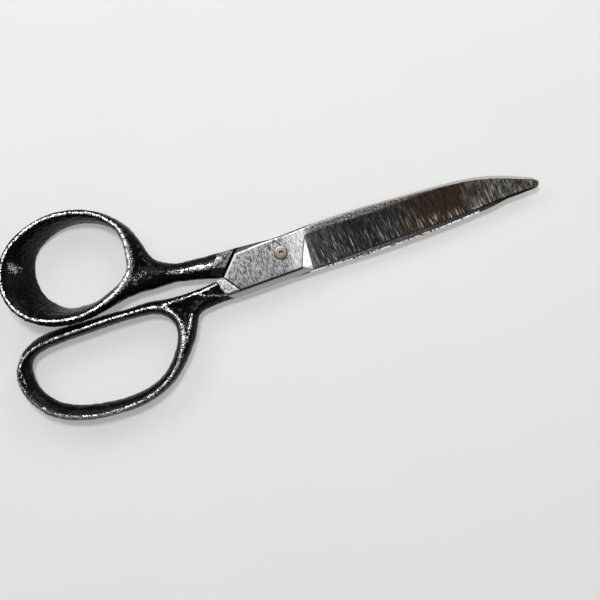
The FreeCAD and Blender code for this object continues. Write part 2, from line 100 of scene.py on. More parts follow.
# shanks: x, crest y, width above, width below, half height in front, half height behind
FINGER_SHANK = [
    (-14.0, -7.2, 3.9, 4.4, 5.4, 3.6), (-19.0, -7.0, 3.6, 4.7, 5.2, 3.6), (-23.0, -6.85, 3.2, 5.0, 4.9, 3.6), (-25.5, -6.75, 2.85, 5.2, 4.4, 3.5),
    (-28.0, -6.7, 2.5, 5.35, 3.8, 3.35), (-30.5, -6.7, 2.1, 5.4, 3.42, 3.2), (-33.0, -6.65, 1.75, 5.4, 3.03, 3.05), (-38.0, -6.7, 1.45, 4.4, 3.2, 3.2),
    (-43.0, -7.1, 1.75, 3.4, 3.8, 3.8), (-48.5, -7.3, 1.9, 2.1, 3.95, 3.9), (-53.5, -7.1, 0.9, 1.1, 2.6, 2.6), (-56.0, -7.1, 0.5, 0.6, 1.6, 1.6),
]
THUMB_SHANK = [
    (-14.0, 2.4, 3.8, 5.4, 3.6, 5.4), (-18.0, 2.1, 4.1, 5.3, 3.6, 5.2), (-23.0, 2.1, 4.05, 5.35, 3.55, 4.9), (-25.5, 2.2, 3.95, 5.2, 3.45, 4.4),
    (-28.0, 2.3, 3.8, 4.7, 3.35, 3.8), (-30.5, 2.45, 3.7, 4.3, 3.25, 3.42), (-33.0, 2.7, 3.5, 4.05, 3.2, 3.1), (-37.0, 3.05, 3.25, 3.85, 3.15, 3.05),
    (-42.0, 3.5, 3.1, 3.45, 3.4, 3.4), (-48.0, 4.2, 3.6, 4.4, 3.9, 3.9), (-53.4, 5.0, 2.7, 3.9, 3.1, 3.1), (-56.0, 5.2, 1.6, 2.2, 2.0, 2.0),
]
# crest lines that catch the light, lose their enamel first and carry painted highlights: x, y, z
FINGER_CREST = [(-31.5, -5.75, 3.1), (-33.3, -6.65, 3.0), (-38.0, -6.7, 3.2), (-43.0, -7.1, 3.8), (-48.0, -7.3, 4.2)]
THUMB_CREST = [(-18.0, 5.6, 3.3), (-21.0, 4.0, 3.4), (-24.0, 2.6, 3.45), (-28.0, 2.3, 3.35), (-33.0, 2.7, 3.2), (-37.0, 3.05, 3.15), (-42.0, 3.5, 3.4)]


# ------------------------------------------------------------------ small mathematics
def spline(table, k):
    """Natural cubic spline through column k, straight beyond its ends."""
    rows = sorted(table)
    x = np.array([r[0] for r in rows], float)
    y = np.array([r[k] for r in rows], float)
    n, h = len(x), np.diff(x)
    a, r = np.eye(n), np.zeros(n)
    for i in range(1, n - 1):
        a[i, i - 1], a[i, i], a[i, i + 1] = h[i - 1], 2 * (h[i - 1] + h[i]), h[i]
        r[i] = 6 * ((y[i + 1] - y[i]) / h[i] - (y[i] - y[i - 1]) / h[i - 1])
    m = np.linalg.solve(a, r)
    s0 = (y[1] - y[0]) / h[0] - h[0] * m[1] / 6
    s1 = (y[-1] - y[-2]) / h[-1] + h[-1] * m[-2] / 6

    def f(q):
        q = np.asarray(q, float)
        i = np.clip(np.searchsorted(x, q) - 1, 0, n - 2)
        p, b, hh = x[i + 1] - q, q - x[i], h[i]
        v = (m[i] * p**3 + m[i + 1] * b**3) / (6 * hh) + (y[i] / hh - m[i] * hh / 6) * p + (y[i + 1] / hh - m[i + 1] * hh / 6) * b
        return np.where(q < x[0], y[0] + s0 * (q - x[0]), np.where(q > x[-1], y[-1] + s1 * (q - x[-1]), v))

    return f


def periodic_curve(table, count):
    """count points along the uniform periodic cubic B-spline through the table's rows, as the CAD bows are made."""
    v = np.array(table, float)
    n = len(v)
    a = np.zeros((n, n))
    for i in range(n):
        a[i, i] = 4 / 6
        a[i, (i - 1) % n] = a[i, (i + 1) % n] = 1 / 6
    p = np.linalg.solve(a, v)
    u = np.arange(count) * n / count
    i, t = np.floor(u).astype(int), (u - np.floor(u))[:, None]
    w = ((1 - t) ** 3 / 6, (3 * t**3 - 6 * t**2 + 4) / 6, (-3 * t**3 + 3 * t**2 + 3 * t + 1) / 6, t**3 / 6)
    return sum(w[k] * p[(i - 1 + k) % n] for k in range(4))


def smin(a, b, k):
    h = np.maximum(k - np.abs(a - b), 0) / k
    return np.minimum(a, b) - h * h * k / 4


def smax(a, b, k):
    return -smin(-a, -b, k)


def smooth(e0, e1, x):
    t = np.clip((x - e0) / (e1 - e0), 0, 1)
    return t * t * (3 - 2 * t)


def waves(p, low, high, count, seed, stretch=(1, 1, 1)):
    """Smooth seeded unevenness from many plane waves, wavelengths low to high mm, about -1 to 1."""
    rng = np.random.default_rng(seed)
    out = np.zeros(len(p))
    q = np.asarray(p, float) / np.array(stretch)
    for _ in range(count):
        d = rng.normal(size=3)
        d /= np.linalg.norm(d)
        out += np.sin(q @ (d * 2 * math.pi / rng.uniform(low, high)) + rng.uniform(0, 2 * math.pi))
    return out / math.sqrt(count / 2) / 1.6


def line_side(line, x, y):
    """Signed distance from a line given by two points, positive to the right of its direction."""
    (x1, y1), (x2, y2) = line
    d = math.hypot(x2 - x1, y2 - y1)
    return ((x - x1) * (y2 - y1) - (y - y1) * (x2 - x1)) / d


def fall_from(ridge, x, y):
    """Distance past the ridge towards the shank."""
    (x1, y1), (x2, y2) = ridge
    n = math.hypot(x2 - x1, y2 - y1)
    fx, fy = (y2 - y1) / n, -(x2 - x1) / n
    if fx > 0:
        fx, fy = -fx, -fy
    return (x - x1) * fx + (y - y1) * fy


# ------------------------------------------------------------------ meshes
def put(name, verts, faces, body, attributes=None, smooth_angle=32):
    """Mesh object from points in the plane frame (mm), riding on a CAD body."""
    v = np.asarray(verts, float).copy()
    v[:, 2] += FLOOR
    mesh = bpy.data.meshes.new(name)
    mesh.from_pydata((v / 1000).tolist(), [], [tuple(f) for f in faces])
    mesh.update()
    ob = bpy.data.objects.new(name, mesh)
    bpy.context.scene.collection.objects.link(ob)
    mesh.shade_smooth()
    if smooth_angle:
        mesh.set_sharp_from_angle(angle=math.radians(smooth_angle))
    for key, values in (attributes or {}).items():
        at = mesh.attributes.new(key, "FLOAT", "POINT")
        at.data.foreach_set("value", np.asarray(values, np.float32))
    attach(ob, body)
    return ob


def coords(mesh):
    co = np.zeros(len(mesh.vertices) * 3)
    mesh.vertices.foreach_get("co", co)
    p = co.reshape(-1, 3) * 1000
    p[:, 2] -= FLOOR
    return p


def surface_net(F, lo, pitch, rounds=2):
    """Closed quad mesh of F = 0 (negative inside), pulled onto the surface."""
    inside = F < 0
    nx, ny, nz = F.shape
    corners = [(i, j, k) for i in (0, 1) for j in (0, 1) for k in (0, 1)]

    def part(A, c):
        return A[c[0] : nx - 1 + c[0], c[1] : ny - 1 + c[1], c[2] : nz - 1 + c[2]]

    total = sum(part(inside, c).astype(np.int8) for c in corners)
    mixed = (total > 0) & (total < 8)
    cells = np.argwhere(mixed)
    idx = -np.ones(mixed.shape, int)
    idx[mixed] = np.arange(len(cells))
    values = {c: part(F, c)[mixed] for c in corners}
    acc, cnt = np.zeros((len(cells), 3)), np.zeros(len(cells))
    for a in corners:
        for axis in range(3):
            if a[axis]:
                continue
            b = list(a)
            b[axis] = 1
            b = tuple(b)
            fa, fb = values[a], values[b]
            cross = (fa < 0) != (fb < 0)
            t = np.where(cross, fa / np.where(cross, fa - fb, 1), 0)
            p = np.array(a, float)[None] + t[:, None] * (np.array(b) - np.array(a))[None]
            acc[cross] += p[cross]
            cnt += cross
    grid = cells + acc / cnt[:, None]
    quads = []
    for axis in range(3):
        s0 = np.take(inside, range(0, inside.shape[axis] - 1), axis)
        s1 = np.take(inside, range(1, inside.shape[axis]), axis)
        e = np.argwhere(s0 != s1)
        u, w = (axis + 1) % 3, (axis + 2) % 3
        ok = (e[:, u] > 0) & (e[:, w] > 0) & (e[:, u] < inside.shape[u] - 1) & (e[:, w] < inside.shape[w] - 1)
        e = e[ok]
        out = s0[tuple(e.T)]
        ring = []
        for du, dw in ((-1, -1), (0, -1), (0, 0), (-1, 0)):
            c = e.copy()
            c[:, u] += du
            c[:, w] += dw
            ring.append(idx[tuple(c.T)])
        q = np.stack(ring, 1)
        q[~out] = q[~out][:, ::-1]
        quads.append(q)
    quads = np.concatenate(quads)
    G = np.gradient(F)

    def sample(A, p):
        q = np.clip(p, 0, np.array(A.shape) - 1.001)
        i = np.floor(q).astype(int)
        f = q - i
        out = 0
        for c in corners:
            w = 1
            for k in range(3):
                w = w * (f[:, k] if c[k] else 1 - f[:, k])
            out = out + w * A[i[:, 0] + c[0], i[:, 1] + c[1], i[:, 2] + c[2]]
        return out

    def pull(p):
        for _ in range(3):
            f = sample(F, p)
            g = np.stack([sample(G[k], p) for k in range(3)], 1)
            step = g * (f / np.maximum((g * g).sum(1), 1e-9))[:, None]
            n = np.linalg.norm(step, axis=1, keepdims=True)
            p = p - step * np.minimum(1, 0.5 / np.maximum(n, 1e-9))
        return p

    grid = pull(grid)
    ea = np.concatenate([quads[:, k] for k in range(4)])
    eb = np.concatenate([quads[:, (k + 1) % 4] for k in range(4)])
    for _ in range(rounds):
        s = np.zeros_like(grid)
        for k in range(3):
            s[:, k] = np.bincount(ea, grid[eb, k], len(grid)) + np.bincount(eb, grid[ea, k], len(grid))
        deg = (np.bincount(ea, minlength=len(grid)) + np.bincount(eb, minlength=len(grid)))[:, None]
        grid = pull(grid + 0.6 * (s / deg - grid))
    g = np.stack([sample(G[k], grid) for k in range(3)], 1)
    g /= np.maximum(np.linalg.norm(g, axis=1, keepdims=True), 1e-9)
    return np.array(lo) + grid * pitch, quads, g


def lattice(lo, hi, pitch):
    n = [int(math.ceil((b - a) / pitch)) + 1 for a, b in zip(lo, hi)]
    return [lo[k] + np.arange(n[k]) * pitch for k in range(3)]


def as_distance(rho, pitch, scale):
    """Turns a field that is 1 on the surface into a near distance."""
    g = np.gradient(rho, pitch)
    n = np.sqrt(g[0] ** 2 + g[1] ** 2 + g[2] ** 2)
    return (rho - 1) / np.maximum(n, 0.3 / scale)


def nearest(path, X, Y):
    """Nearest sample of a plan path to each point of a plan grid."""
    P = np.stack([X.ravel(), Y.ravel()], 1)
    q = path.astype(np.float32)
    best = np.zeros(len(P), int)
    for s in range(0, len(P), 20000):
        d = (q * q).sum(1)[None, :] - 2 * (P[s : s + 20000].astype(np.float32) @ q.T)
        best[s : s + 20000] = d.argmin(1)
    return best.reshape(X.shape)


def outward(path, sign):
    t = np.roll(path, -1, 0) - np.roll(path, 1, 0)
    t /= np.linalg.norm(t, axis=1, keepdims=True)
    return np.stack([t[:, 1], -t[:, 0]], 1) * sign


def bow_field(axes, pitch, table, power):
    c = periodic_curve(table, 640)
    n = outward(c[:, :2], -1.0)
    centre = c[:, :2].mean(0)
    if ((c[:, :2] - centre) * n).sum() < 0:
        n = -n
    X, Y = np.meshgrid(axes[0], axes[1], indexing="ij")
    i = nearest(c[:, :2], X, Y)
    a = (X - c[i, 0]) * n[i, 0] + (Y - c[i, 1]) * n[i, 1]
    w = np.where(a > 0, c[i, 2], c[i, 3])
    A = (np.abs(a) / w)[:, :, None] ** power
    Z = (np.abs(axes[2])[None, None, :] / c[i, 4][:, :, None]) ** power
    return as_distance((A + Z + 1e-9) ** (1 / power), pitch, 2.5)


def ring_field(axes, pitch, table, power):
    c = periodic_curve(table, 480)
    F, B, tin, tout = c[:, :3], c[:, 3:6], c[:, 6], c[:, 7]
    X, Y = np.meshgrid(axes[0], axes[1], indexing="ij")
    rho = np.zeros((len(axes[0]), len(axes[1]), len(axes[2])))
    for k, z in enumerate(axes[2]):
        tau = (z - B[:, 2]) / (F[:, 2] - B[:, 2])
        path = B[:, :2] + (F[:, :2] - B[:, :2]) * np.clip(tau, -0.1, 1.1)[:, None]
        n = outward(path, -1.0)
        if ((path - path.mean(0)) * n).sum() < 0:
            n = -n
        lean = ((F[:, :2] - B[:, :2]) * n).sum(1) / (F[:, 2] - B[:, 2])
        cosl = 1 / np.sqrt(1 + lean**2)
        i = nearest(path, X, Y)
        a = ((X - path[i, 0]) * n[i, 0] + (Y - path[i, 1]) * n[i, 1]) * cosl[i]
        t = np.where(a > 0, tout[i], tin[i])
        rho[:, :, k] = ((np.abs(a) / t) ** power + np.abs(2 * tau[i] - 1) ** power + 1e-9) ** (1 / power)
    return as_distance(rho, pitch, 2.0)


def shank_field(axes, pitch, table, power_up, power_down):
    x, y, z = axes[0][:, None, None], axes[1][None, :, None], axes[2][None, None, :]
    yc, wu, wd, hf, hb = (spline(table, k)(axes[0])[:, None, None] for k in range(1, 6))
    a, h = y - yc, np.where(z > 0, hf, hb)
    w = np.maximum(np.where(a > 0, wu, wd), 0.3)
    p = np.where(a > 0, power_up, power_down)
    rho = ((np.abs(a) / w) ** p + (np.abs(z) / np.maximum(h, 0.3)) ** p + 1e-9) ** (1 / p)
    return smax(as_distance(rho, pitch, 2.5), -55.5 - x + 0 * y + 0 * z, 0.5)


def arm_field(axes, pitch, table, power):
    t = np.array(table, float)
    s = np.concatenate([[0], np.cumsum(np.hypot(*np.diff(t[:, :2], axis=0).T))])
    rows = [(s[i], *t[i]) for i in range(len(t))]
    u = np.linspace(0, s[-1], 160)
    px, py, pw, ph = (spline(rows, k)(u) for k in range(1, 5))
    path = np.stack([px, py], 1)
    X, Y = np.meshgrid(axes[0], axes[1], indexing="ij")
    i = nearest(path, X, Y)
    a = np.hypot(X - px[i], Y - py[i])
    A = (a / pw[i])[:, :, None] ** power
    Z = (np.abs(axes[2])[None, None, :] / ph[i][:, :, None]) ** power
    return as_distance((A + Z + 1e-9) ** (1 / power), pitch, 2.5)


def finger_field(axes, pitch, near=False):
    x, y, z = axes[0][:, None, None], axes[1][None, :, None], axes[2][None, None, :]
    F = shank_field(axes, pitch, FINGER_SHANK, 2.35, 1.6)
    if not near:
        F = smin(F, bow_field(axes, pitch, FINGER_BOW, 1.75), 1.5)
        F = smin(F, arm_field(axes, pitch, FINGER_STRUT, 1.75), 1.7)
        F = smin(F, arm_field(axes, pitch, [(-38.4, -8.6, 2.6, 2.3), (-41.2, -11.4, 2.4, 2.3)], 2.0), 1.0)
    lower = 0.80 * (-11.85 - y) + 0.60 * (z - 0.3) - 0.13 * np.maximum(-23.0 - x, 0)
    F = smax(F, np.where(x > -34, lower, -1.0) + 0 * z, 0.5)
    d = fall_from(FINGER_RIDGE, x, y)
    plane = z - (PLATE_T - RAMP * d + 0.10 * np.maximum(d - RAMP_LEN + 1.0, 0) ** 2)
    return smax(F, plane, 0.12)


def thumb_field(axes, pitch, near=False):
    x, y, z = axes[0][:, None, None], axes[1][None, :, None], axes[2][None, None, :]
    F = shank_field(axes, pitch, THUMB_SHANK, 2.0, 2.0)
    if not near:
        F = smin(F, ring_field(axes, pitch, THUMB_BOW, 2.2), 1.8)
        F = smin(F, arm_field(axes, pitch, THUMB_WEB, 2.0), 2.4)
        F = smin(F, arm_field(axes, pitch, THUMB_HEEL, 2.0), 3.4)
    lower = 0.80 * (y - 6.15) + 0.60 * (-z - 0.3) - 0.13 * np.maximum(-21.5 - x, 0)
    F = smax(F, np.where(x > -34, lower, -1.0) + 0 * z, 0.5)
    d = fall_from([(-22.6, -2.0), (-17.7, 3.9)], x, y)
    plane = -z - (PLATE_T - RAMP * d + 0.10 * np.maximum(d - RAMP_LEN + 1.0, 0) ** 2)
    F = smax(F, plane, 0.12)
    # facet that falls from the crest towards the end of the other blade
    facet = z - 3.55 + 0.30 * ((x + 26.0) * 0.776 - (y - 1.9) * 0.630 * 1.0) * 0.93
    facet = facet / 1.04
    return smax(F, np.where(x > -29, facet, -2.0), 1.1)


# ------------------------------------------------------------------ blades
def cross_lines():
    """Fractions across the blade, close together at both edges."""
    return np.unique(np.round(np.concatenate([[0, 0.002, 0.005, 0.010, 0.016], np.linspace(0.024, 0.976, 84), [0.984, 0.990, 0.995, 0.998, 1]]), 5))


def stations():
    return np.concatenate([
        np.linspace(-12.0, 5.0, 42)[1:], np.linspace(5.0, 11.2, 50)[1:], np.linspace(11.2, 86.0, 150)[1:], np.linspace(86.0, 97.75, 48)[1:],
    ])


def thickness(x):
    return PLATE_T + (TIP_T - PLATE_T) * np.clip((x - RUNOUT_X) / (98.6 - RUNOUT_X), 0, 1.1)


def blade_surface(outline, ground, ridge, border, x, y):
    """Height of the outer face, and masks of its zones."""
    yb_f, yt_f, yg_f = spline(outline, 1), spline(outline, 2), spline(ground, 1)
    yb, yt, t = yb_f(x), yt_f(x), thickness(x)
    w = yt - yb
    bevel = np.minimum(2.05, 0.30 * w)
    ch = np.minimum(0.62, 0.16 * w)
    ch = np.where(x > 40, np.minimum(ch + 0.010 * (x - 40), 0.17 * w), ch)
    z_b = GAP + 0.26 + (y - yb) * (t - GAP - 0.26) / bevel
    flat = smooth(6.0, -2.0, x)                              # wider, shallower chamfer round the joint plate
    z_s = (t - ch * 1.15 + (yt - y) * 1.15) * (1 - flat) + (t - 0.21 + (yt - y) * 0.55) * flat
    xx = np.maximum(x, RUNOUT_X)
    yc, yg, tt = yb_f(xx), yg_f(xx), thickness(xx)
    f = (y - yc) / (yg - yc)
    sag = HOLLOW * np.minimum(1, (yg - yc) / 10)
    u = RUNOUT_X - 0.15 - x
    g = EDGE_LAND + (tt - EDGE_LAND) * f - sag * 4 * f * (1 - f) + RUNOUT_RISE * (u + np.sqrt(u * u + 0.10)) / 2
    bw = 0.28 + 1.05 * smooth(70, 87, x) * (1 - 0.45 * smooth(91, 97, x))
    at = EDGE_LAND + (tt - EDGE_LAND) * bw / (yg - yc)
    hone = 0.10 + (y - yb) * (at - 0.12) / bw
    d = fall_from(ridge, x, y)
    z_r = PLATE_T - RAMP * d
    slant = line_side([border[2], border[3]], x, y)          # distance inside the slanted end
    slant = np.where(x < -10, slant, 9.0)
    z_e = t - 0.40 + slant * 0.55
    plate = smin(smin(np.broadcast_to(t, x.shape), z_s, 0.22), z_e, 0.2)
    plate = smin(plate, z_b, np.where(x < 10, 0.50, 0.2))
    plate = smin(plate, z_r, 0.05)
    groove = np.exp(-((d / 0.16) ** 2)) * 0.08 * smooth(-0.2, 0.5, y - ridge[1][1] + 0.3) * (x < -12)
    plate = plate - groove
    z = smin(plate, g, np.where(x < 9.8, 0.24, 0.12))
    z = np.where(x > RUNOUT_X, smin(z, hone, 0.06), z)
    edge = np.minimum(np.minimum(y - yb, yt - y), slant + 0.001)
    r = 0.10
    z = z - np.where(edge < r, r - np.sqrt(np.maximum(r * r - (r - np.clip(edge, 0, r)) ** 2, 0)), 0)
    z = np.maximum(z, GAP + 0.07)
    masks = {
        "ground": smooth(0.02, -0.06, g - plate) * (x > 4),
        "hone": smooth(0.03, -0.03, hone - g) * (x > RUNOUT_X),
        "bevel": smooth(0.05, -0.05, z_b - np.minimum(t, z_s)) * (1 - smooth(9.5, 10.5, x)),
        "spine": smooth(0.05, -0.05, z_s - t),
        "ramp": smooth(0.02, -0.02, z_r - t) * (x < -12) * smooth(-0.05, 0.05, z_b - z_r),
        # painted shade: a dark line along the crease between the lower bevel and the plate near the joint
        "crease_shade": np.minimum(1, 1.25 * np.exp(-(((z_b - t - 0.22) / 0.80) ** 2))) * smooth(8.5, 6.0, x) * (y < (yb + yt) / 2),
        "slope": smooth(RUNOUT_X + 0.05, RUNOUT_X - 0.35, x) * smooth(0.02, -0.06, g - plate),
        # painted shadow: a dark band along the top edge of the plate near the joint, for the shade of the gap to the
        # other blade; painted highlight: a pale line just below it on the top chamfer
        "rim_shadow": smooth(0.10, -0.10, yt - y - 0.36 - 0.62 * smooth(-4, -16, x)) * smooth(15, 11, x),
        "rim_highlight": np.exp(-(((yt - y - 0.58 - 0.62 * smooth(-4, -16, x)) / 0.20) ** 2)) * smooth(1.0, -9.0, x),
        # painted highlight: a white band just inside the plate's slanted end, on its chamfer
        "end_highlight": smooth(0.85, 0.60, slant) * smooth(0.02, 0.14, slant) * smooth(1.15, 1.45, yt - y),
    }
    return z, masks


def inner_height(outline, x, y, worn_edge):
    yb_f, yt_f = spline(outline, 1), spline(outline, 2)
    mid = (yb_f(x) + yt_f(x)) / 2
    depth = 0.17 + (0.010 - 0.17) * (x - 15) / 79 - (y - mid) ** 2 / 260
    h = GAP + np.where((x > 15) & (x < 94), np.maximum(depth, 0), 0)
    if worn_edge:                                            # the spine's inner corner is broken along the middle of the blade
        c = 0.62 * smooth(8, 20, x) * smooth(72, 52, x) * (1 + 0.25 * np.sin(x * 2.9) * np.sin(x * 1.3 + 1.0))
        h = h + np.maximum(c - (yt_f(x) - y), 0) * 0.38
    return h


def blade(name, outline, ground, ridge, border, mirrored, hole, body, node):
    yb_f, yt_f = spline(outline, 1), spline(outline, 2)
    V = cross_lines()
    S = stations()
    b = np.array(border)
    x0 = -12.0
    ylo, yhi = float(yb_f(x0)), float(yt_f(x0))
    # fractions at which the border's corners sit
    frac = [0.0, (b[1, 1] - b[0, 1]) / (b[3, 1] - b[0, 1]), (b[2, 1] - b[0, 1]) / (b[3, 1] - b[0, 1]), 1.0]
    frac[2] = max(frac[2], frac[1] + 0.03)
    V = np.unique(np.concatenate([V, [frac[1], frac[2]], np.linspace(frac[1], frac[2], 6)]))
    bx, by = np.interp(V, frac, b[:, 0]), np.interp(V, frac, b[:, 1])
    q = np.unique(np.concatenate([np.linspace(0, 0.08, 9), np.linspace(0.08, 1, 60)]))[:, None]
    XL = bx[None] * (1 - q) + x0 * q
    YL = by[None] * (1 - q) + (ylo + V * (yhi - ylo))[None] * q
    # keep the lower and upper lines on the outline
    tl, tu = (1 - smooth(0.0, 0.04, V))[None], smooth(0.96, 1.0, V)[None]
    YL = YL + tl * (yb_f(XL) - np.where(V[None] < 0.05, YL, yb_f(XL)) * 1.0) * (V[None] == 0)
    top = np.where(q > 0, yt_f(XL), YL)
    YL = np.where(V[None] == 1, np.minimum(top, yt_f(XL)), YL)
    XR = np.repeat(S[:, None], len(V), 1)
    tipw = np.clip((XR - 92) / 5.9, 0, 1) ** 2
    XR = XR + tipw * 0.85 * (1 - np.abs(2 * V[None] - 1) ** 3.2)
    XR = np.minimum(XR, 98.6 if not mirrored else 98.3)
    YR = yb_f(S)[:, None] + V[None] * (yt_f(S) - yb_f(S))[:, None]
    X, Y = np.concatenate([XL, XR]), np.concatenate([YL, YR])
    Z, _ = blade_surface(outline, ground, ridge, border, X, Y)
    # inner face: hollowed a little along the middle, and broken at the rear blade's spine corner
    ZI = inner_height(outline, X, Y, mirrored)
    ns, nv = X.shape
    up = np.stack([X, Y, Z], 2).reshape(-1, 3)
    dn = np.stack([X, Y, ZI], 2).reshape(-1, 3)
    verts = np.concatenate([up, dn])
    I = np.arange(ns * nv).reshape(ns, nv)
    J = I + ns * nv
    faces = [np.stack([I[:-1, :-1], I[1:, :-1], I[1:, 1:], I[:-1, 1:]], 2).reshape(-1, 4)]
    faces.append(np.stack([J[:-1, :-1], J[:-1, 1:], J[1:, 1:], J[1:, :-1]], 2).reshape(-1, 4))
    for a, c in ((I[:, 0], J[:, 0]), (I[-1, :], J[-1, :]), (I[::-1, -1], J[::-1, -1]), (I[::-1][-1, ::-1], J[::-1][-1, ::-1])):
        faces.append(np.stack([a[:-1], c[:-1], c[1:], a[1:]], 1))
    faces = np.concatenate(faces)
    if mirrored:
        verts = verts * np.array([1, -1, -1])
    return verts, faces


def cut_hole(ob, radius):
    """A true hole for the rivet."""
    bm = bmesh.new()
    bmesh.ops.create_cone(bm, cap_ends=True, segments=72, radius1=radius / 1000, radius2=radius / 1000, depth=0.02)
    m = bpy.data.meshes.new("hole")
    bm.to_mesh(m)
    bm.free()
    c = bpy.data.objects.new("hole", m)
    c.location = (0, 0, FLOOR / 1000)
    bpy.context.scene.collection.objects.link(c)
    mod = ob.modifiers.new("hole", "BOOLEAN")
    mod.object, mod.operation, mod.solver = c, "DIFFERENCE", "EXACT"
    bpy.context.view_layer.update()
    new = bpy.data.meshes.new_from_object(ob.evaluated_get(bpy.context.evaluated_depsgraph_get()))
    ob.modifiers.clear()
    ob.data = new
    bpy.data.objects.remove(c)


def blade_object(name, outline, ground, ridge, border, mirrored, hole, body, node, neck):
    verts, faces = blade(name, outline, ground, ridge, border, mirrored, hole, body, node)
    ob = put(name, verts, faces, body, smooth_angle=None)
    cut_hole(ob, hole)
    # the neck behind the plate is a second closed shell of the same piece
    nv, nq = neck
    m = ob.data
    bm = bmesh.new()
    bm.from_mesh(m)
    lift = [bm.verts.new(((p[0]) / 1000, p[1] / 1000, (p[2] + FLOOR) / 1000)) for p in nv]
    for q in nq:
        bm.faces.new([lift[k] for k in q])
    bmesh.ops.recalc_face_normals(bm, faces=bm.faces[:])
    bm.to_mesh(m)
    bm.free()
    m.shade_smooth()
    m.set_sharp_from_angle(angle=math.radians(30))
    p = coords(m)
    o = p * np.array([1, -1, -1]) if mirrored else p
    z, masks = blade_surface(outline, ground, ridge, border, o[:, 0], o[:, 1])
    n = np.zeros(len(m.vertices) * 3)
    m.vertices.foreach_get("normal", n)
    n = n.reshape(-1, 3)
    facing = (n[:, 2] * (-1 if mirrored else 1)) > 0.12
    outer = facing & (o[:, 2] > GAP + 0.05)
    for key, val in masks.items():
        at = m.attributes.new(key, "FLOAT", "POINT")
        at.data.foreach_set("value", np.where(outer, val, 0).astype(np.float32))
    inner = (o[:, 2] < GAP + 0.25) & (n[:, 2] * (-1 if mirrored else 1) < -0.5)
    at = m.attributes.new("inner", "FLOAT", "POINT")
    at.data.foreach_set("value", inner.astype(np.float32))
    # painted shade: darkening in the deep slot between one plate's slanted end and the other half's neck, standing also
    # for old oil collected there
    s = line_side([(-22.6, -3.4), (-15.7, 5.1)], p[:, 0], p[:, 1]) if mirrored else line_side([(-15.75, -10.6), (-22.6, -2.45)], p[:, 0], p[:, 1])
    shade_and_oil = smooth(-1.5, -0.9, s) * smooth(0.15, -0.15, s) * (smooth(1.9, 0.6, o[:, 2]) if mirrored else smooth(0.35, 0.15, o[:, 2]))
    at = m.attributes.new("slot_shade_and_oil", "FLOAT", "POINT")
    at.data.foreach_set("value", (shade_and_oil * (p[:, 0] < -12)).astype(np.float32))
    # the neck: forged skin, coloured near-black towards its lower left and, on the thumb half, below the joint plane
    if mirrored:
        neck_zone = smooth(0.1, -0.2, line_side([(-22.6, -3.4), (-15.7, 5.1)], p[:, 0], p[:, 1]) + 0.6) * (p[:, 0] < -13)
        neck_dark = smooth(-0.9, 0.9, line_side([(-28.6, 1.4), (-20.4, 0.4)], p[:, 0], p[:, 1]))
        neck_dark = np.maximum(neck_dark, smooth(0.5, -0.5, p[:, 2] + 0.2))
    else:
        neck_zone = masks["bevel"] * 0 + (o[:, 1] < -11.9 + 0.0 * o[:, 0]) * 1.0
        neck_dark = smooth(-0.5, 0.8, line_side([(-19.2, -12.4), (-23.9, -9.6)], p[:, 0], p[:, 1]) * -1) * smooth(-9.3, -9.9, p[:, 1])
    plain = facing & (o[:, 2] > 2.2) & (o[:, 0] < -12) & (o[:, 1] > ridge[1][1] - 0.25)
    for key, val in (("neck", neck_zone), ("neck_dark", neck_dark * (p[:, 0] < -14)), ("plain", plain * 1.0)):
        at = m.attributes.new(key, "FLOAT", "POINT")
        at.data.foreach_set("value", val.astype(np.float32))
    # the rear blade's broken spine corner, where white speckles are painted as highlight
    edge = (yt_of(outline, o[:, 0]) - o[:, 1] < 0.62) & (o[:, 2] < 1.2) & (o[:, 0] > 8) & (o[:, 0] < 75) if mirrored else np.zeros(len(p), bool)
    at = m.attributes.new("edge", "FLOAT", "POINT")
    at.data.foreach_set("value", edge.astype(np.float32))
    return ob


def yt_of(outline, x):
    return spline(outline, 2)(x)


def slanted_gap(border, x, y):
    """Positive on the blade's side of a line 0.8 mm behind the other blade's slanted end."""
    (x1, y1), (x2, y2) = border[2], border[3]
    return line_side([(x1, y1), (x2, y2)], x, y) + 0.8


def finger_neck(pitch=0.22):
    axes = lattice((-28.5, -13.2, -4.2), (-14.0, -2.2, 4.2), pitch)
    x, y, z = axes[0][:, None, None], axes[1][None, :, None], axes[2][None, None, :]
    F = finger_field(axes, pitch, near=True) + 0.035
    F = smax(F, z - (PLATE_T - 0.10) + 0 * x + 0 * y, 0.05)
    yb = spline(FINGER_OUTLINE, 1)(axes[0])[:, None, None]
    F = smax(F, -0.863 * (y - yb) + 0.505 * (z - 0.30) + 0.22, 0.3)
    paint = line_side([(-21.30, -12.6), (-25.65, -3.9)], x, y)      # positive right of the line
    F = smax(F, -paint - 0.9 + 0 * z, 0.1)
    # behind the plate only where the other half leaves room
    other = slanted_gap([None, None, (-22.6, -2.2), (-15.7, -10.7)], x, y)
    other = line_side([(-15.9, -11.4), (-23.0, -2.6)], x, y)
    F = smax(F, np.where(z < 0.2, other, -3.0) + 0 * z, 0.15)
    own = line_side([(-22.6, -3.4), (-15.7, 5.1)], x, y)
    F = smax(F, -own + 0.15 + 0 * z, 0.12)
    F = smax(F, x + 18.6 + 0 * y + 0 * z, 0.2)
    v, q, n = surface_net(F, [a[0] for a in axes], pitch)
    return v, q


def thumb_neck(pitch=0.22):
    axes = lattice((-31.0, -4.2, -4.2), (-14.0, 7.4, 4.2), pitch)
    x, y, z = axes[0][:, None, None], axes[1][None, :, None], axes[2][None, None, :]
    F = thumb_field(axes, pitch, near=True) + 0.035
    paint = line_side([(-28.35, -3.1), (-21.3, 6.8)], x, y)
    F = smax(F, -paint - 0.9 + 0 * z, 0.1)
    front = line_side([(-22.6, -3.4), (-15.7, 5.1)], x, y) + 0.8
    F = smax(F, np.where(z > -0.2, front, -3.0) + 0 * z, 0.15)
    F = smax(F, x + 16.2 + 0 * y + 0 * z, 0.2)
    return surface_net(F, [a[0] for a in axes], pitch)[:2]


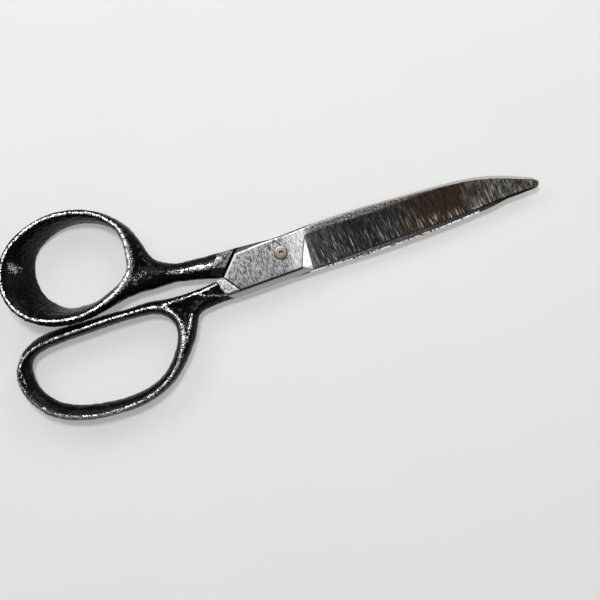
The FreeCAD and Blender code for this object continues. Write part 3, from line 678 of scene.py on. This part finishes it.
def handle(name, field, lo, hi, line, body, crests, pitch=0.42):
    axes = lattice(lo, hi, pitch)
    x, y, z = axes[0][:, None, None], axes[1][None, :, None], axes[2][None, None, :]
    F = field(axes, pitch)
    F = smax(F, line_side(line, x, y) + 0 * z, 0.15)
    F = smax(F, -4.585 - z + 0 * x + 0 * y, 0.3)
    v, q, n = surface_net(F, [a[0] for a in axes], pitch)
    inside = smooth(0.0, -1.5, line_side(line, v[:, 0], v[:, 1]))
    lump = 0.062 * waves(v, 1.5, 3.0, 70, 5) + 0.040 * waves(v, 4, 9, 30, 8)
    lump = np.where(v[:, 2] < -4.2, np.minimum(lump, 0), lump)
    v = v + n * (lump * inside)[:, None]
    v[:, 2] = np.maximum(v[:, 2], -4.59)
    crest = np.zeros(len(v))
    for line3, radius, above, gain in crests:
        L = np.array(line3, float)
        r = np.broadcast_to(np.asarray(radius, float), (len(L),))
        k = 3 if above is None else 2                        # 2: a line on the front face, measured in plan
        for s in range(0, len(v), 8000):
            w = v[s : s + 8000, :k]
            d2 = (w * w).sum(1)[:, None] + (L[:, :k] ** 2).sum(1)[None] - 2 * w @ L[:, :k].T
            i = d2.argmin(1)
            c = gain * np.exp(-np.maximum(d2[np.arange(len(w)), i], 0) / r[i] ** 2)
            if above is not None:
                c = c * (v[s : s + 8000, 2] > above)
            crest[s : s + 8000] = np.maximum(crest[s : s + 8000], c)
    return put(name, v, q, body, {"crest": crest}, smooth_angle=50)


def dense(points, step=0.25):
    P = np.array(points, float)
    s = np.concatenate([[0], np.cumsum(np.linalg.norm(np.diff(P, axis=0), axis=1))])
    rows = [(s[i], *P[i]) for i in range(len(P))]
    u = np.arange(0, s[-1], step)
    return np.stack([spline(rows, k)(u) for k in range(1, 4)], 1)


def lathe(name, profile, body, segments=96):
    """Closed turned piece from a profile of (radius, z), from the axis or a bore round to its start."""
    pr = np.array(profile, float)
    verts, faces = [], []
    n = len(pr)
    for j in range(segments):
        a = 2 * math.pi * j / segments
        verts += [(r * math.cos(a), r * math.sin(a), z) for r, z in pr]
    for j in range(segments):
        for i in range(n if pr[0][0] > 0 else n - 1):
            a, b = j * n + i, j * n + (i + 1) % n
            c, d = ((j + 1) % segments) * n + (i + 1) % n, ((j + 1) % segments) * n + i
            faces.append((a, b, c, d))
    v = np.array(verts)
    v[:, 2] += FLOOR
    bm = bmesh.new()
    vs = [bm.verts.new(tuple(p / 1000)) for p in v]
    for f in faces:
        try:
            bm.faces.new([vs[k] for k in f])
        except ValueError:
            pass
    bmesh.ops.remove_doubles(bm, verts=bm.verts[:], dist=1e-7)
    bmesh.ops.recalc_face_normals(bm, faces=bm.faces[:])
    m = bpy.data.meshes.new(name)
    bm.to_mesh(m)
    bm.free()
    m.shade_smooth()
    m.set_sharp_from_angle(angle=math.radians(35))
    ob = bpy.data.objects.new(name, m)
    bpy.context.scene.collection.objects.link(ob)
    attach(ob, body)
    return ob


# ------------------------------------------------------------------ build
finger_paint = [(-21.30, -12.6), (-25.65, -3.9)]
thumb_paint = [(-28.35, -3.1), (-21.3, 6.8)]

finger_blade = blade_object("FingerBlade", FINGER_OUTLINE, FINGER_GROUND, FINGER_RIDGE, FINGER_BORDER, False, 2.0, "finger_half", "finger_blade", finger_neck())
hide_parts("finger_blade")
thumb_blade = blade_object("ThumbBlade", THUMB_OUTLINE, THUMB_GROUND, THUMB_RIDGE, THUMB_BORDER, True, 2.04, "thumb_half", "thumb_blade", thumb_neck())
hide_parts("thumb_blade")

def near_spot(line, x, y, size):
    return np.exp(-((line[:, 0] - x) ** 2 + (line[:, 1] - y) ** 2) / size**2)


bow_crest = periodic_curve(FINGER_BOW, 900)
bow_crest = np.stack([bow_crest[:, 0], bow_crest[:, 1], bow_crest[:, 4]], 1)
strut_crest = dense([(p[0], p[1], p[3]) for p in FINGER_STRUT[2:5]])
# crest bands of pale metal: worn enamel, and painted highlights made wider where the bow shows broad highlights
finger_wear_and_glints = [
    (bow_crest, 0.82 + 1.00 * near_spot(bow_crest, -43.5, -20.0, 9.0) + 0.25 * near_spot(bow_crest, -70.0, -40.0, 22.0) - 0.48 * near_spot(bow_crest, -104.6, -20.0, 8.0), None, 1.0),
    (strut_crest, 1.10, None, 0.86),
    (dense([(-101.6, -11.9, 0), (-104.7, -15.5, 0), (-105.45, -19.7, 0), (-104.8, -24.9, 0), (-102.6, -30.0, 0), (-99.4, -34.1, 0)]), 0.75, 1.0, 1.0),
    (dense([(-103.4, -16.4, 0), (-103.3, -19.5, 0), (-102.6, -22.8, 0)]), 0.75, 2.0, 0.8),
    (dense([(-47.0, -7.3, 0), (-40.0, -7.0, 0), (-33.0, -6.2, 0), (-30.0, -5.8, 0), (-27.0, -5.2, 0), (-25.5, -4.9, 0)]), 0.62, 1.5, 1.0),
    (dense([(-33.0, -6.9, 0), (-30.0, -8.2, 0), (-28.0, -8.7, 0), (-26.0, -9.3, 0), (-23.0, -9.7, 0), (-21.0, -9.9, 0)]), 0.55, 1.0, 1.0),
    (dense([(-46.2, -7.6, 0), (-45.4, -9.0, 0), (-44.6, -11.0, 0)]), 0.9, 1.5, 0.9),
]
finger_handle = handle("FingerHandle", finger_field, (-108.2, -43.4, -5.6), (-20.0, -2.0, 5.6), finger_paint, "finger_half", finger_wear_and_glints)
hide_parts("finger_handle")

rim = periodic_curve(THUMB_BOW, 900)[:, :3]
# pale metal on the thumb bow: worn enamel along the rim, and painted highlights as the wide band on its right side and
# the spots on the inner wall and near the shank
thumb_wear_and_glints = [
    (rim, 0.82 + 2.05 * near_spot(rim, -57.0, 8.0, 9.5) + 0.9 * near_spot(rim, -55.0, 17.0, 7.0), None, 1.0),
    (dense(THUMB_CREST), 1.45, None, 0.97),
    (dense([(-96.2, 20.6, 0), (-95.2, 19.2, 0)]), 2.6, 1.0, 0.86),
    (dense([(-50.5, 6.0, 0), (-55.0, 4.4, 0)]), 2.2, 1.5, 0.66),
]
thumb_handle = handle("ThumbHandle", thumb_field, (-104.2, -7.4, -5.6), (-20.0, 38.2, 10.4), thumb_paint, "thumb_half", thumb_wear_and_glints)
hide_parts("thumb_handle")

T = PLATE_T
head = [(0, T + 0.10), (0.28, T + 0.11), (0.52, T + 0.26), (0.66, T + 0.44), (0.80, T + 0.50), (1.02, T + 0.475), (1.5, T + 0.475), (2.1, T + 0.465), (2.34, T + 0.44),
        (2.49, T + 0.38), (2.57, T + 0.27), (2.60, T + 0.12), (2.60, T + 0.005), (1.97, T + 0.002)]
tail = [(1.97, -T - 0.03), (1.97, -T - 0.48), (2.55, -T - 0.485), (2.70, -T - 0.54), (2.75, -T - 0.62), (2.72, -T - 0.72), (2.55, -T - 0.80), (0, -T - 0.80)]
rivet = lathe("PivotRivet", head + tail, "finger_half")
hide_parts("pivot_rivet")
b0, b1 = -T - 0.48, -T - 0.03
burr = lathe("RivetBurr", [(2.02, b0 + 0.03), (2.06, b0), (3.1, b0), (3.24, b0 + 0.05), (3.30, b0 + 0.15), (3.30, b1 - 0.1), (3.25, b1 - 0.02), (3.18, b1), (2.06, b1), (2.02, b1 - 0.03)], "finger_half")
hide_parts("rivet_burr")


# ------------------------------------------------------------------ materials
class Nodes:
    def __init__(self, name):
        self.mat = bpy.data.materials.new(name)
        self.mat.use_nodes = True
        self.nt = self.mat.node_tree
        self.nt.nodes.clear()
        self.out = self.nt.nodes.new("ShaderNodeOutputMaterial")
        self.bsdf = self.nt.nodes.new("ShaderNodeBsdfPrincipled")
        self.link(self.bsdf.outputs[0], self.out.inputs[0])
        self.coord = self.nt.nodes.new("ShaderNodeTexCoord").outputs["Object"]

    def link(self, a, b):
        self.nt.links.new(a, b)

    def set(self, node, **kw):
        for k, v in kw.items():
            s = node.inputs[k.replace("_", " ")]
            if isinstance(v, bpy.types.NodeSocket):
                self.link(v, s)
            else:
                s.default_value = v

    def mapped(self, scale=(1, 1, 1), rotation=(0, 0, 0), location=(0, 0, 0)):
        """Object coordinates in mm, turned, then scaled."""
        m = self.nt.nodes.new("ShaderNodeMapping")
        m.vector_type = "POINT"
        m.inputs["Scale"].default_value = tuple(1000 * s for s in scale)
        m.inputs["Rotation"].default_value = rotation
        m.inputs["Location"].default_value = location
        self.link(self.coord, m.inputs[0])
        return m.outputs[0]

    def leant(self, scale=(1, 1, 1), angle=0.0, shift=(0, 0, 0)):
        """Object coordinates in mm, stretched along a direction that leans from +Y towards -X."""
        m = self.nt.nodes.new("ShaderNodeMapping")
        m.vector_type = "TEXTURE"
        m.inputs["Scale"].default_value = tuple(0.001 / s for s in scale)
        m.inputs["Rotation"].default_value = (0, 0, math.radians(angle))
        m.inputs["Location"].default_value = tuple(v / 1000 for v in shift)
        self.link(self.coord, m.inputs[0])
        return m.outputs[0]

    def noise(self, vec, scale=1.0, detail=2.0, rough=0.5, distort=0.0):
        n = self.nt.nodes.new("ShaderNodeTexNoise")
        n.inputs["Scale"].default_value = scale
        n.inputs["Detail"].default_value = detail
        n.inputs["Roughness"].default_value = rough
        n.inputs["Distortion"].default_value = distort
        self.link(vec, n.inputs["Vector"])
        return n.outputs["Fac"]

    def voronoi(self, vec, scale=1.0):
        n = self.nt.nodes.new("ShaderNodeTexVoronoi")
        n.inputs["Scale"].default_value = scale
        self.link(vec, n.inputs["Vector"])
        return n.outputs["Distance"]

    def ramp(self, fac, stops, interp="LINEAR"):
        r = self.nt.nodes.new("ShaderNodeValToRGB")
        r.color_ramp.interpolation = interp
        el = r.color_ramp.elements
        while len(el) < len(stops):
            el.new(0.5)
        for e, (p, c) in zip(el, stops):
            e.position = p
            e.color = (*c, 1) if not isinstance(c, (int, float)) else (c, c, c, 1)
        self.link(fac, r.inputs[0])
        return r.outputs[0]

    def math(self, op, a, b=None, c=None, clamp=False):
        n = self.nt.nodes.new("ShaderNodeMath")
        n.operation = op
        n.use_clamp = clamp
        for s, v in zip(n.inputs, (a, b, c)):
            if v is None:
                continue
            if isinstance(v, bpy.types.NodeSocket):
                self.link(v, s)
            else:
                s.default_value = v
        return n.outputs[0]

    def span(self, fac, lo, hi, a=0.0, b=1.0):
        n = self.nt.nodes.new("ShaderNodeMapRange")
        n.interpolation_type = "SMOOTHSTEP"
        for k, v in zip(("Value", "From Min", "From Max", "To Min", "To Max"), (fac, lo, hi, a, b)):
            if isinstance(v, bpy.types.NodeSocket):
                self.link(v, n.inputs[k])
            else:
                n.inputs[k].default_value = v
        return n.outputs[0]

    def mix(self, fac, a, b, mode="MIX"):
        n = self.nt.nodes.new("ShaderNodeMix")
        n.data_type = "RGBA"
        n.blend_type = mode
        n.clamp_factor = True
        ins = [s for s in n.inputs if s.name in ("Factor", "A", "B") and s.enabled]
        fac_in = [s for s in n.inputs if s.name == "Factor" and s.type == "VALUE"][0]
        a_in = [s for s in n.inputs if s.name == "A" and s.type == "RGBA"][0]
        b_in = [s for s in n.inputs if s.name == "B" and s.type == "RGBA"][0]
        for s, v in ((fac_in, fac), (a_in, a), (b_in, b)):
            if isinstance(v, bpy.types.NodeSocket):
                self.link(v, s)
            elif isinstance(v, (int, float)):
                s.default_value = v if s is fac_in else (v, v, v, 1)
            else:
                s.default_value = (*v, 1)
        return [s for s in n.outputs if s.type == "RGBA"][0]

    def mixf(self, fac, a, b):
        n = self.nt.nodes.new("ShaderNodeMix")
        n.data_type = "FLOAT"
        fac_in = [s for s in n.inputs if s.name == "Factor" and s.type == "VALUE"][0]
        a_in = [s for s in n.inputs if s.name == "A" and s.type == "VALUE"][0]
        b_in = [s for s in n.inputs if s.name == "B" and s.type == "VALUE"][0]
        for s, v in ((fac_in, fac), (a_in, a), (b_in, b)):
            if isinstance(v, bpy.types.NodeSocket):
                self.link(v, s)
            else:
                s.default_value = v
        return [s for s in n.outputs if s.type == "VALUE"][0]

    def attr(self, name):
        n = self.nt.nodes.new("ShaderNodeAttribute")
        n.attribute_name = name
        return n.outputs["Fac"]

    def xyz(self):
        n = self.nt.nodes.new("ShaderNodeSeparateXYZ")
        self.link(self.mapped(), n.inputs[0])
        return n.outputs

    def bump(self, height, strength, distance, normal=None):
        n = self.nt.nodes.new("ShaderNodeBump")
        n.inputs["Strength"].default_value = strength
        n.inputs["Distance"].default_value = distance
        self.link(height, n.inputs["Height"])
        if normal is not None:
            self.link(normal, n.inputs["Normal"])
        return n.outputs[0]


def enamel():
    """Black japanned cast iron: thick glossy coat over a lumpy casting, worn to speckled metal along its crests; the
    pale metal there is partly real wear and partly painted highlight, widest where the crests catch the light.
    """
    k = Nodes("JapannedIron")
    p = k.mapped()
    lumps = k.noise(p, 0.85, 2.0, 0.55)
    grain = k.noise(p, 2.6, 2.0, 0.6)
    fine = k.noise(p, 7.0, 1.0, 0.5)
    crest = k.attr("crest")
    patch_noise = k.noise(p, 1.75, 2.0, 0.6)
    blotch = k.noise(k.mapped(location=(3, 9, 4)), 0.75, 2.0, 0.5)
    patchiness = k.math("ADD", k.math("MULTIPLY", patch_noise, 1.9), k.math("MULTIPLY", blotch, 0.60))
    # pale metal along the crests: partly worn enamel, partly painted highlight
    wear_and_glint = k.math("MULTIPLY", k.span(k.math("ADD", crest, patchiness), 1.97, 2.23), k.span(crest, 0.15, 0.35))
    pit = k.span(k.noise(k.mapped(location=(7, 3, 1)), 3.4, 2.0, 0.5), 0.66, 0.75)
    black = k.mix(k.span(lumps, 0.35, 0.7), (0.0014, 0.0015, 0.0019), (0.0040, 0.0038, 0.0038))
    col = k.mix(wear_and_glint, black, k.mix(fine, (0.62, 0.61, 0.60), (0.80, 0.80, 0.79)))
    rough = k.mixf(k.span(grain, 0.3, 0.7), 0.11, 0.24)
    rough = k.mixf(wear_and_glint, k.mixf(pit, rough, 0.5), 0.34)
    k.set(k.bsdf, Base_Color=col, Roughness=rough, Metallic=wear_and_glint)
    k.bsdf.inputs["Specular IOR Level"].default_value = 0.11
    h = k.math("ADD", k.math("MULTIPLY", lumps, 0.6), k.math("MULTIPLY", grain, 0.42))
    h = k.math("ADD", h, k.math("MULTIPLY", fine, 0.08))
    h = k.math("SUBTRACT", h, k.math("MULTIPLY", wear_and_glint, 0.06))
    k.link(k.bump(h, 0.58, 0.00030), k.bsdf.inputs["Normal"])
    return k.mat


def steel(name, tint=1.0, rear=False):
    """Forged blade: satin plate brushed across, hollow-ground face with cross scratches and a brown patina, wheel
    run-out coloured near-white as a painted highlight.
    """
    k = Nodes(name)
    p = k.mapped()
    x, y, z = k.xyz()
    ground, slope, bevel, spine, ramp, hone, inner = (k.attr(n) for n in ("ground", "slope", "bevel", "spine", "ramp", "hone", "inner"))
    # ridge line between the plate and the ramp
    (rx, ry), (sx, sy) = THUMB_RIDGE if rear else FINGER_RIDGE
    rn = math.hypot(sx - rx, sy - ry)
    own_y = k.math("MULTIPLY", y, -1.0) if rear else y
    past = k.math("ADD", k.math("MULTIPLY", k.math("SUBTRACT", x, rx), (sy - ry) / rn), k.math("MULTIPLY", k.math("SUBTRACT", own_y, ry), -(sx - rx) / rn))
    line = k.math("MULTIPLY", k.span(k.math("ABSOLUTE", past), 0.42, 0.16), k.attr("plain"))
    # streaks across the blade, leaning a little
    streak = k.noise(k.leant((1.0, 0.045, 0.3), 9), 2.6, 1.0, 0.5)
    streak2 = k.noise(k.leant((1.0, 0.30, 0.3), 13, (3.1, 0.7, 0)), 0.6, 2.0, 0.6)
    streak3 = k.noise(k.leant((1.0, 0.11, 0.3), 10, (9.1, 2.7, 0)), 1.6, 2.0, 0.6)
    grain = k.noise(k.leant((1.0, 0.26, 1.0), 3), 2.0, 2.0, 0.6)
    grain2 = k.noise(k.leant((1.0, 0.38, 1.0), -3, (5, 1, 0)), 3.2, 2.0, 0.6)
    speck = k.noise(p, 2.3, 2.0, 0.55)
    fine = k.noise(p, 5.5, 2.0, 0.6)
    cloud = k.noise(p, 0.16, 2.0, 0.5)

    # plate: satin, brushed across, with a painted sheen before the run-out where it curves up into the light, dull and
    # stippled above the ground face
    g1 = k.span(k.math("ADD", k.math("MULTIPLY", grain, 0.6), k.math("MULTIPLY", grain2, 0.4)), 0.40, 0.61)
    plate = k.mix(g1, (0.050, 0.051, 0.055), (0.300, 0.300, 0.305))
    # painted sheen: lighter plate colours from x 1 to 11.5 mm
    bright = k.mix(g1, (0.235, 0.235, 0.240), (0.520, 0.520, 0.520))
    plate = k.mix(k.math("MULTIPLY", k.span(x, 1.0, 5.0), k.span(x, 11.5, 9.0)), plate, bright)
    dull = k.mix(k.span(speck, 0.40, 0.62), (0.032, 0.031, 0.030), (0.165, 0.160, 0.152))
    dull = k.mix(k.math("MULTIPLY", k.span(x, 38.0, 56.0), 0.7), dull, (0.085, 0.056, 0.040))
    plate = k.mix(k.span(x, 9.5, 15.0), plate, dull)
    plate = k.mix(k.math("MULTIPLY", k.span(speck, 0.60, 0.70), 0.6), plate, (0.62, 0.62, 0.61))
    # ground face: dark, brown in the middle, paler to the tip
    s1 = k.span(streak3, 0.38, 0.62)
    dark = k.mix(s1, k.mix(k.span(x, 30.0, 16.0), (0.042, 0.038, 0.034), (0.085, 0.078, 0.070)), k.mix(k.span(x, 30.0, 16.0), (0.130, 0.125, 0.115), (0.250, 0.240, 0.225)))
    warm = k.mix(s1, (0.026, 0.0115, 0.0055), (0.060, 0.031, 0.018))
    pale = k.mix(s1, (0.105, 0.093, 0.078), (0.440, 0.420, 0.355))
    wx = k.math("ADD", x, k.math("MULTIPLY", k.math("SUBTRACT", cloud, 0.5), 30.0))
    face = k.mix(k.span(wx, 38.0, 54.0), dark, warm)
    face = k.mix(k.span(wx, 68.0, 86.0), face, pale)
    face = k.mix(k.math("MULTIPLY", k.span(speck, 0.52, 0.62), k.span(x, 84.0, 90.0, 0.08, 0.9)), face, (0.52, 0.51, 0.46))
    face = k.mix(k.math("MULTIPLY", k.span(speck, 0.46, 0.38), k.span(x, 80.0, 88.0)), face, (0.022, 0.022, 0.026))
    rust = k.math("MULTIPLY", k.span(k.math("ABSOLUTE", k.math("SUBTRACT", x, 91.8)), 2.6, 0.8), k.span(y, 1.8, 0.2))
    face = k.mix(k.math("MULTIPLY", rust, 0.6), face, (0.26, 0.18, 0.09))
    face = k.mix(k.math("MULTIPLY", k.span(grain2, 0.54, 0.66), 0.45), face, (0.030, 0.028, 0.026))
    scr = k.math("MULTIPLY", k.span(streak, 0.54, 0.62), k.span(streak2, 0.36, 0.62))
    low = k.math("MAXIMUM", k.span(y, 4.0, -2.5, 0.45, 1.0), k.span(x, 74.0, 82.0, 0.0, 0.8))
    mid = k.math("MULTIPLY", k.span(x, 44.0, 56.0), k.span(x, 80.0, 72.0))
    amount = k.math("MULTIPLY", low, k.math("SUBTRACT", 1.0, k.math("MULTIPLY", mid, k.span(y, -3.0, 0.5))))
    scr = k.math("MULTIPLY", scr, amount, clamp=True)
    scr = k.math("MULTIPLY", scr, k.math("ADD", k.span(x, 30.0, 20.0, 0.55, 0.90), k.span(x, 66.0, 76.0, 0.0, 0.45)), clamp=True)
    face = k.mix(scr, face, k.mix(k.span(x, 40.0, 90.0), (0.80, 0.78, 0.74), (0.92, 0.89, 0.76)))

    face = k.mix(k.span(x, 12.3, 10.9), face, k.mix(g1, (0.20, 0.19, 0.18), (0.62, 0.60, 0.58)))
    col = k.mix(ground, plate, face)
    # painted highlight: the run-out facet coloured near-white, for the bright reflection it shows
    col = k.mix(slope, col, k.mix(fine, (0.84, 0.84, 0.84), (0.96, 0.96, 0.95)))
    col = k.mix(bevel, col, k.mix(k.span(fine, 0.3, 0.7), (0.31, 0.31, 0.31), (0.49, 0.49, 0.485)))
    col = k.mix(spine, col, k.mix(k.span(fine, 0.3, 0.7), (0.50, 0.49, 0.48), (0.72, 0.71, 0.70)))
    # painted shadow: near-black band along the top edge of the plate near the joint; painted highlight: a pale speckled
    # line just below it
    col = k.mix(k.math("MULTIPLY", k.attr("rim_shadow"), 0.94), col, k.mix(k.span(speck, 0.40, 0.60), (0.008, 0.008, 0.009), (0.045, 0.045, 0.044)))
    col = k.mix(k.math("MULTIPLY", k.attr("rim_highlight"), k.span(speck, 0.30, 0.50, 0.3, 0.9)), col, (0.80, 0.80, 0.81))
    # painted highlight: the ramp coloured far lighter than the plate for the light its tilt catches, mottled like worn
    # steel
    col = k.mix(ramp, col, k.mix(k.span(speck, 0.36, 0.60), (0.17, 0.17, 0.17), (0.93, 0.93, 0.92)))
    # painted reflection: the honed facet near the tip coloured dark navy for the dark it reflects
    col = k.mix(k.math("MULTIPLY", hone, k.span(x, 97.5, 95.5)), col, (0.045, 0.047, 0.060))
    back = k.mix(k.span(speck, 0.36, 0.60), (0.030, 0.027, 0.025), (0.150, 0.143, 0.138))
    back = k.mix(k.math("MULTIPLY", k.span(fine, 0.58, 0.70), 0.6), back, (0.40, 0.39, 0.38))
    col = k.mix(inner, col, back)
    mottle = k.noise(k.leant((1.0, 0.5, 1.0), -52), 1.5, 3.0, 0.6)
    skin = k.mix(k.span(mottle, 0.38, 0.64), (0.040, 0.036, 0.033), (0.560, 0.545, 0.530))
    skin = k.mix(k.math("MULTIPLY", k.span(fine, 0.55, 0.70), 0.6), skin, (0.04, 0.036, 0.033))
    col = k.mix(k.attr("neck"), col, skin)
    neck_darkness = k.span(k.math("ADD", k.attr("neck_dark"), k.math("SUBTRACT", 0.5, mottle)), 0.30, 0.72)
    col = k.mix(neck_darkness, col, k.mix(k.span(mottle, 0.40, 0.65), (0.002, 0.0018, 0.0018), (0.010, 0.006, 0.004)))
    # painted highlights: white, non-metal speckles along the rear blade's broken spine corner and a white band inside
    # each slanted end
    painted_glint = k.math("MULTIPLY", k.attr("edge"), k.span(k.noise(p, 1.3, 2.0, 0.6), 0.40, 0.50))
    painted_glint = k.math("MAXIMUM", painted_glint, k.math("MULTIPLY", k.attr("end_highlight"), 0.8))
    col = k.mix(painted_glint, col, (0.90, 0.90, 0.90))
    # painted shade: dark line along the crease between the lower bevel and the plate
    col = k.mix(k.math("MULTIPLY", k.attr("crease_shade"), k.span(speck, 0.25, 0.45, 0.55, 0.95)), col, (0.016, 0.016, 0.018))
    col = k.mix(line, col, (0.020, 0.020, 0.022))
    # painted shade in the slot at each plate's slanted end, also standing for old oil: near-black there
    col = k.mix(k.attr("slot_shade_and_oil"), col, (0.004, 0.0038, 0.0040))
    rough = k.mixf(g1, 0.46, 0.32)
    rough = k.mixf(ground, rough, k.mixf(scr, 0.34, 0.62))
    rough = k.mixf(slope, rough, 0.24)
    rough = k.mixf(inner, rough, 0.22)
    rough = k.mixf(k.attr("neck"), rough, 0.50)
    rough = k.mixf(neck_darkness, rough, 0.24)
    h = k.math("ADD", k.math("MULTIPLY", g1, k.mixf(ground, 0.30, 0.05)), k.math("MULTIPLY", streak, k.mixf(ground, 0.35, 1.0)))
    h = k.math("ADD", h, k.math("MULTIPLY", streak2, 0.5))
    film = k.math("MULTIPLY", k.math("MULTIPLY", k.span(wx, 38.0, 54.0), k.span(wx, 86.0, 68.0)), ground)   # the patina is an oxide film, not bare metal
    metal = k.math("SUBTRACT", 1.0, k.math("MAXIMUM", k.math("MAXIMUM", painted_glint, neck_darkness), k.math("MULTIPLY", film, 0.5)))
    k.set(k.bsdf, Base_Color=col, Roughness=rough, Metallic=metal)
    k.link(k.bump(h, 0.35, 0.00008), k.bsdf.inputs["Normal"])
    return k.mat


def rivet_metal(name, a, b, rough0=0.26, rough1=0.42):
    k = Nodes(name)
    p = k.mapped()
    n = k.noise(p, 2.4, 3.0, 0.6)
    f = k.noise(p, 8.0, 2.0, 0.6)
    col = k.mix(k.span(n, 0.3, 0.7), a, b)
    col = k.mix(k.math("MULTIPLY", k.span(f, 0.62, 0.75), 0.5), col, tuple(0.45 * c for c in a))
    k.set(k.bsdf, Base_Color=col, Roughness=k.mixf(k.span(f, 0.3, 0.7), rough0, rough1))
    k.bsdf.inputs["Metallic"].default_value = 1.0
    k.link(k.bump(k.math("ADD", n, k.math("MULTIPLY", f, 0.4)), 0.3, 0.00006), k.bsdf.inputs["Normal"])
    return k.mat


def give(ob, mat):
    ob.data.materials.clear()
    ob.data.materials.append(mat)


black = enamel()
give(finger_handle, black)
give(thumb_handle, black)
give(finger_blade, steel("GroundSteelFront"))
give(thumb_blade, steel("GroundSteelRear", rear=True))
give(rivet, rivet_metal("RivetNickel", (0.140, 0.118, 0.092), (0.270, 0.233, 0.187)))
give(burr, rivet_metal("BurrBrass", (0.30, 0.25, 0.17), (0.46, 0.40, 0.28)))

# ------------------------------------------------------------------ floor, light, camera
bm = bmesh.new()
bmesh.ops.create_grid(bm, x_segments=2, y_segments=2, size=2.5)
m = bpy.data.meshes.new("Floor")
bm.to_mesh(m)
bm.free()
floor = bpy.data.objects.new("Floor", m)
floor.location = (0, 0, -0.00005)
bpy.context.scene.collection.objects.link(floor)
k = Nodes("FloorPaper")
k.set(k.bsdf, Base_Color=k.mix(k.noise(k.mapped(), 0.02, 2.0, 0.5), (0.50, 0.50, 0.495), (0.52, 0.52, 0.515)))
k.bsdf.inputs["Emission Color"].default_value = (1.0, 1.0, 0.99, 1)
k.bsdf.inputs["Emission Strength"].default_value = 0.32
k.bsdf.inputs["Roughness"].default_value = 0.9
k.bsdf.inputs["Specular IOR Level"].default_value = 0.1
give(floor, k.mat)

world = bpy.data.worlds.new("Studio")
bpy.context.scene.world = world
world.use_nodes = True
world.node_tree.nodes["Background"].inputs[0].default_value = (0.95, 0.97, 1.0, 1)
world.node_tree.nodes["Background"].inputs[1].default_value = 0.17


def area(name, at, look, size, power, color=(1, 1, 1)):
    l = bpy.data.lights.new(name, "AREA")
    l.shape = "RECTANGLE"
    l.size, l.size_y = size
    l.energy = power
    l.color = color
    o = bpy.data.objects.new(name, l)
    o.location = at
    o.rotation_euler = (Vector(look) - Vector(at)).to_track_quat("-Z", "Y").to_euler()
    bpy.context.scene.collection.objects.link(o)
    return o


area("Key", (-0.03, 0.27, 0.78), (0, 0, 0), (0.17, 0.12), 3.6)
area("Right", (0.90, -0.12, 0.24), (0, 0, 0.01), (0.40, 0.30), 0.7)
area("BackLeft", (-0.40, 0.75, 0.55), (0, 0, 0), (0.90, 0.36), 3.2)
area("BackRight", (0.65, 0.65, 0.55), (0, 0, 0), (0.50, 0.50), 3.2)

TH = math.radians(15.2)
cam = bpy.data.cameras.new("Camera")
cam.sensor_width = 36.0
cam.lens = 36.0 * 420.0 / 222.0
cam.clip_start, cam.clip_end = 0.01, 20.0
cam_ob = bpy.data.objects.new("Camera", cam)
right = Vector((math.cos(TH), -math.sin(TH), 0))
upv = Vector((math.sin(TH), math.cos(TH), 0))
cam_ob.matrix_world = Matrix(((right.x, upv.x, 0, 0.002224), (right.y, upv.y, 0, -0.018625), (0, 0, 1, (420 + FLOOR) / 1000), (0, 0, 0, 1)))
bpy.context.scene.collection.objects.link(cam_ob)
bpy.context.scene.camera = cam_ob
bpy.context.scene.view_settings.view_transform = "Standard"
bpy.context.scene.view_settings.look = "None"
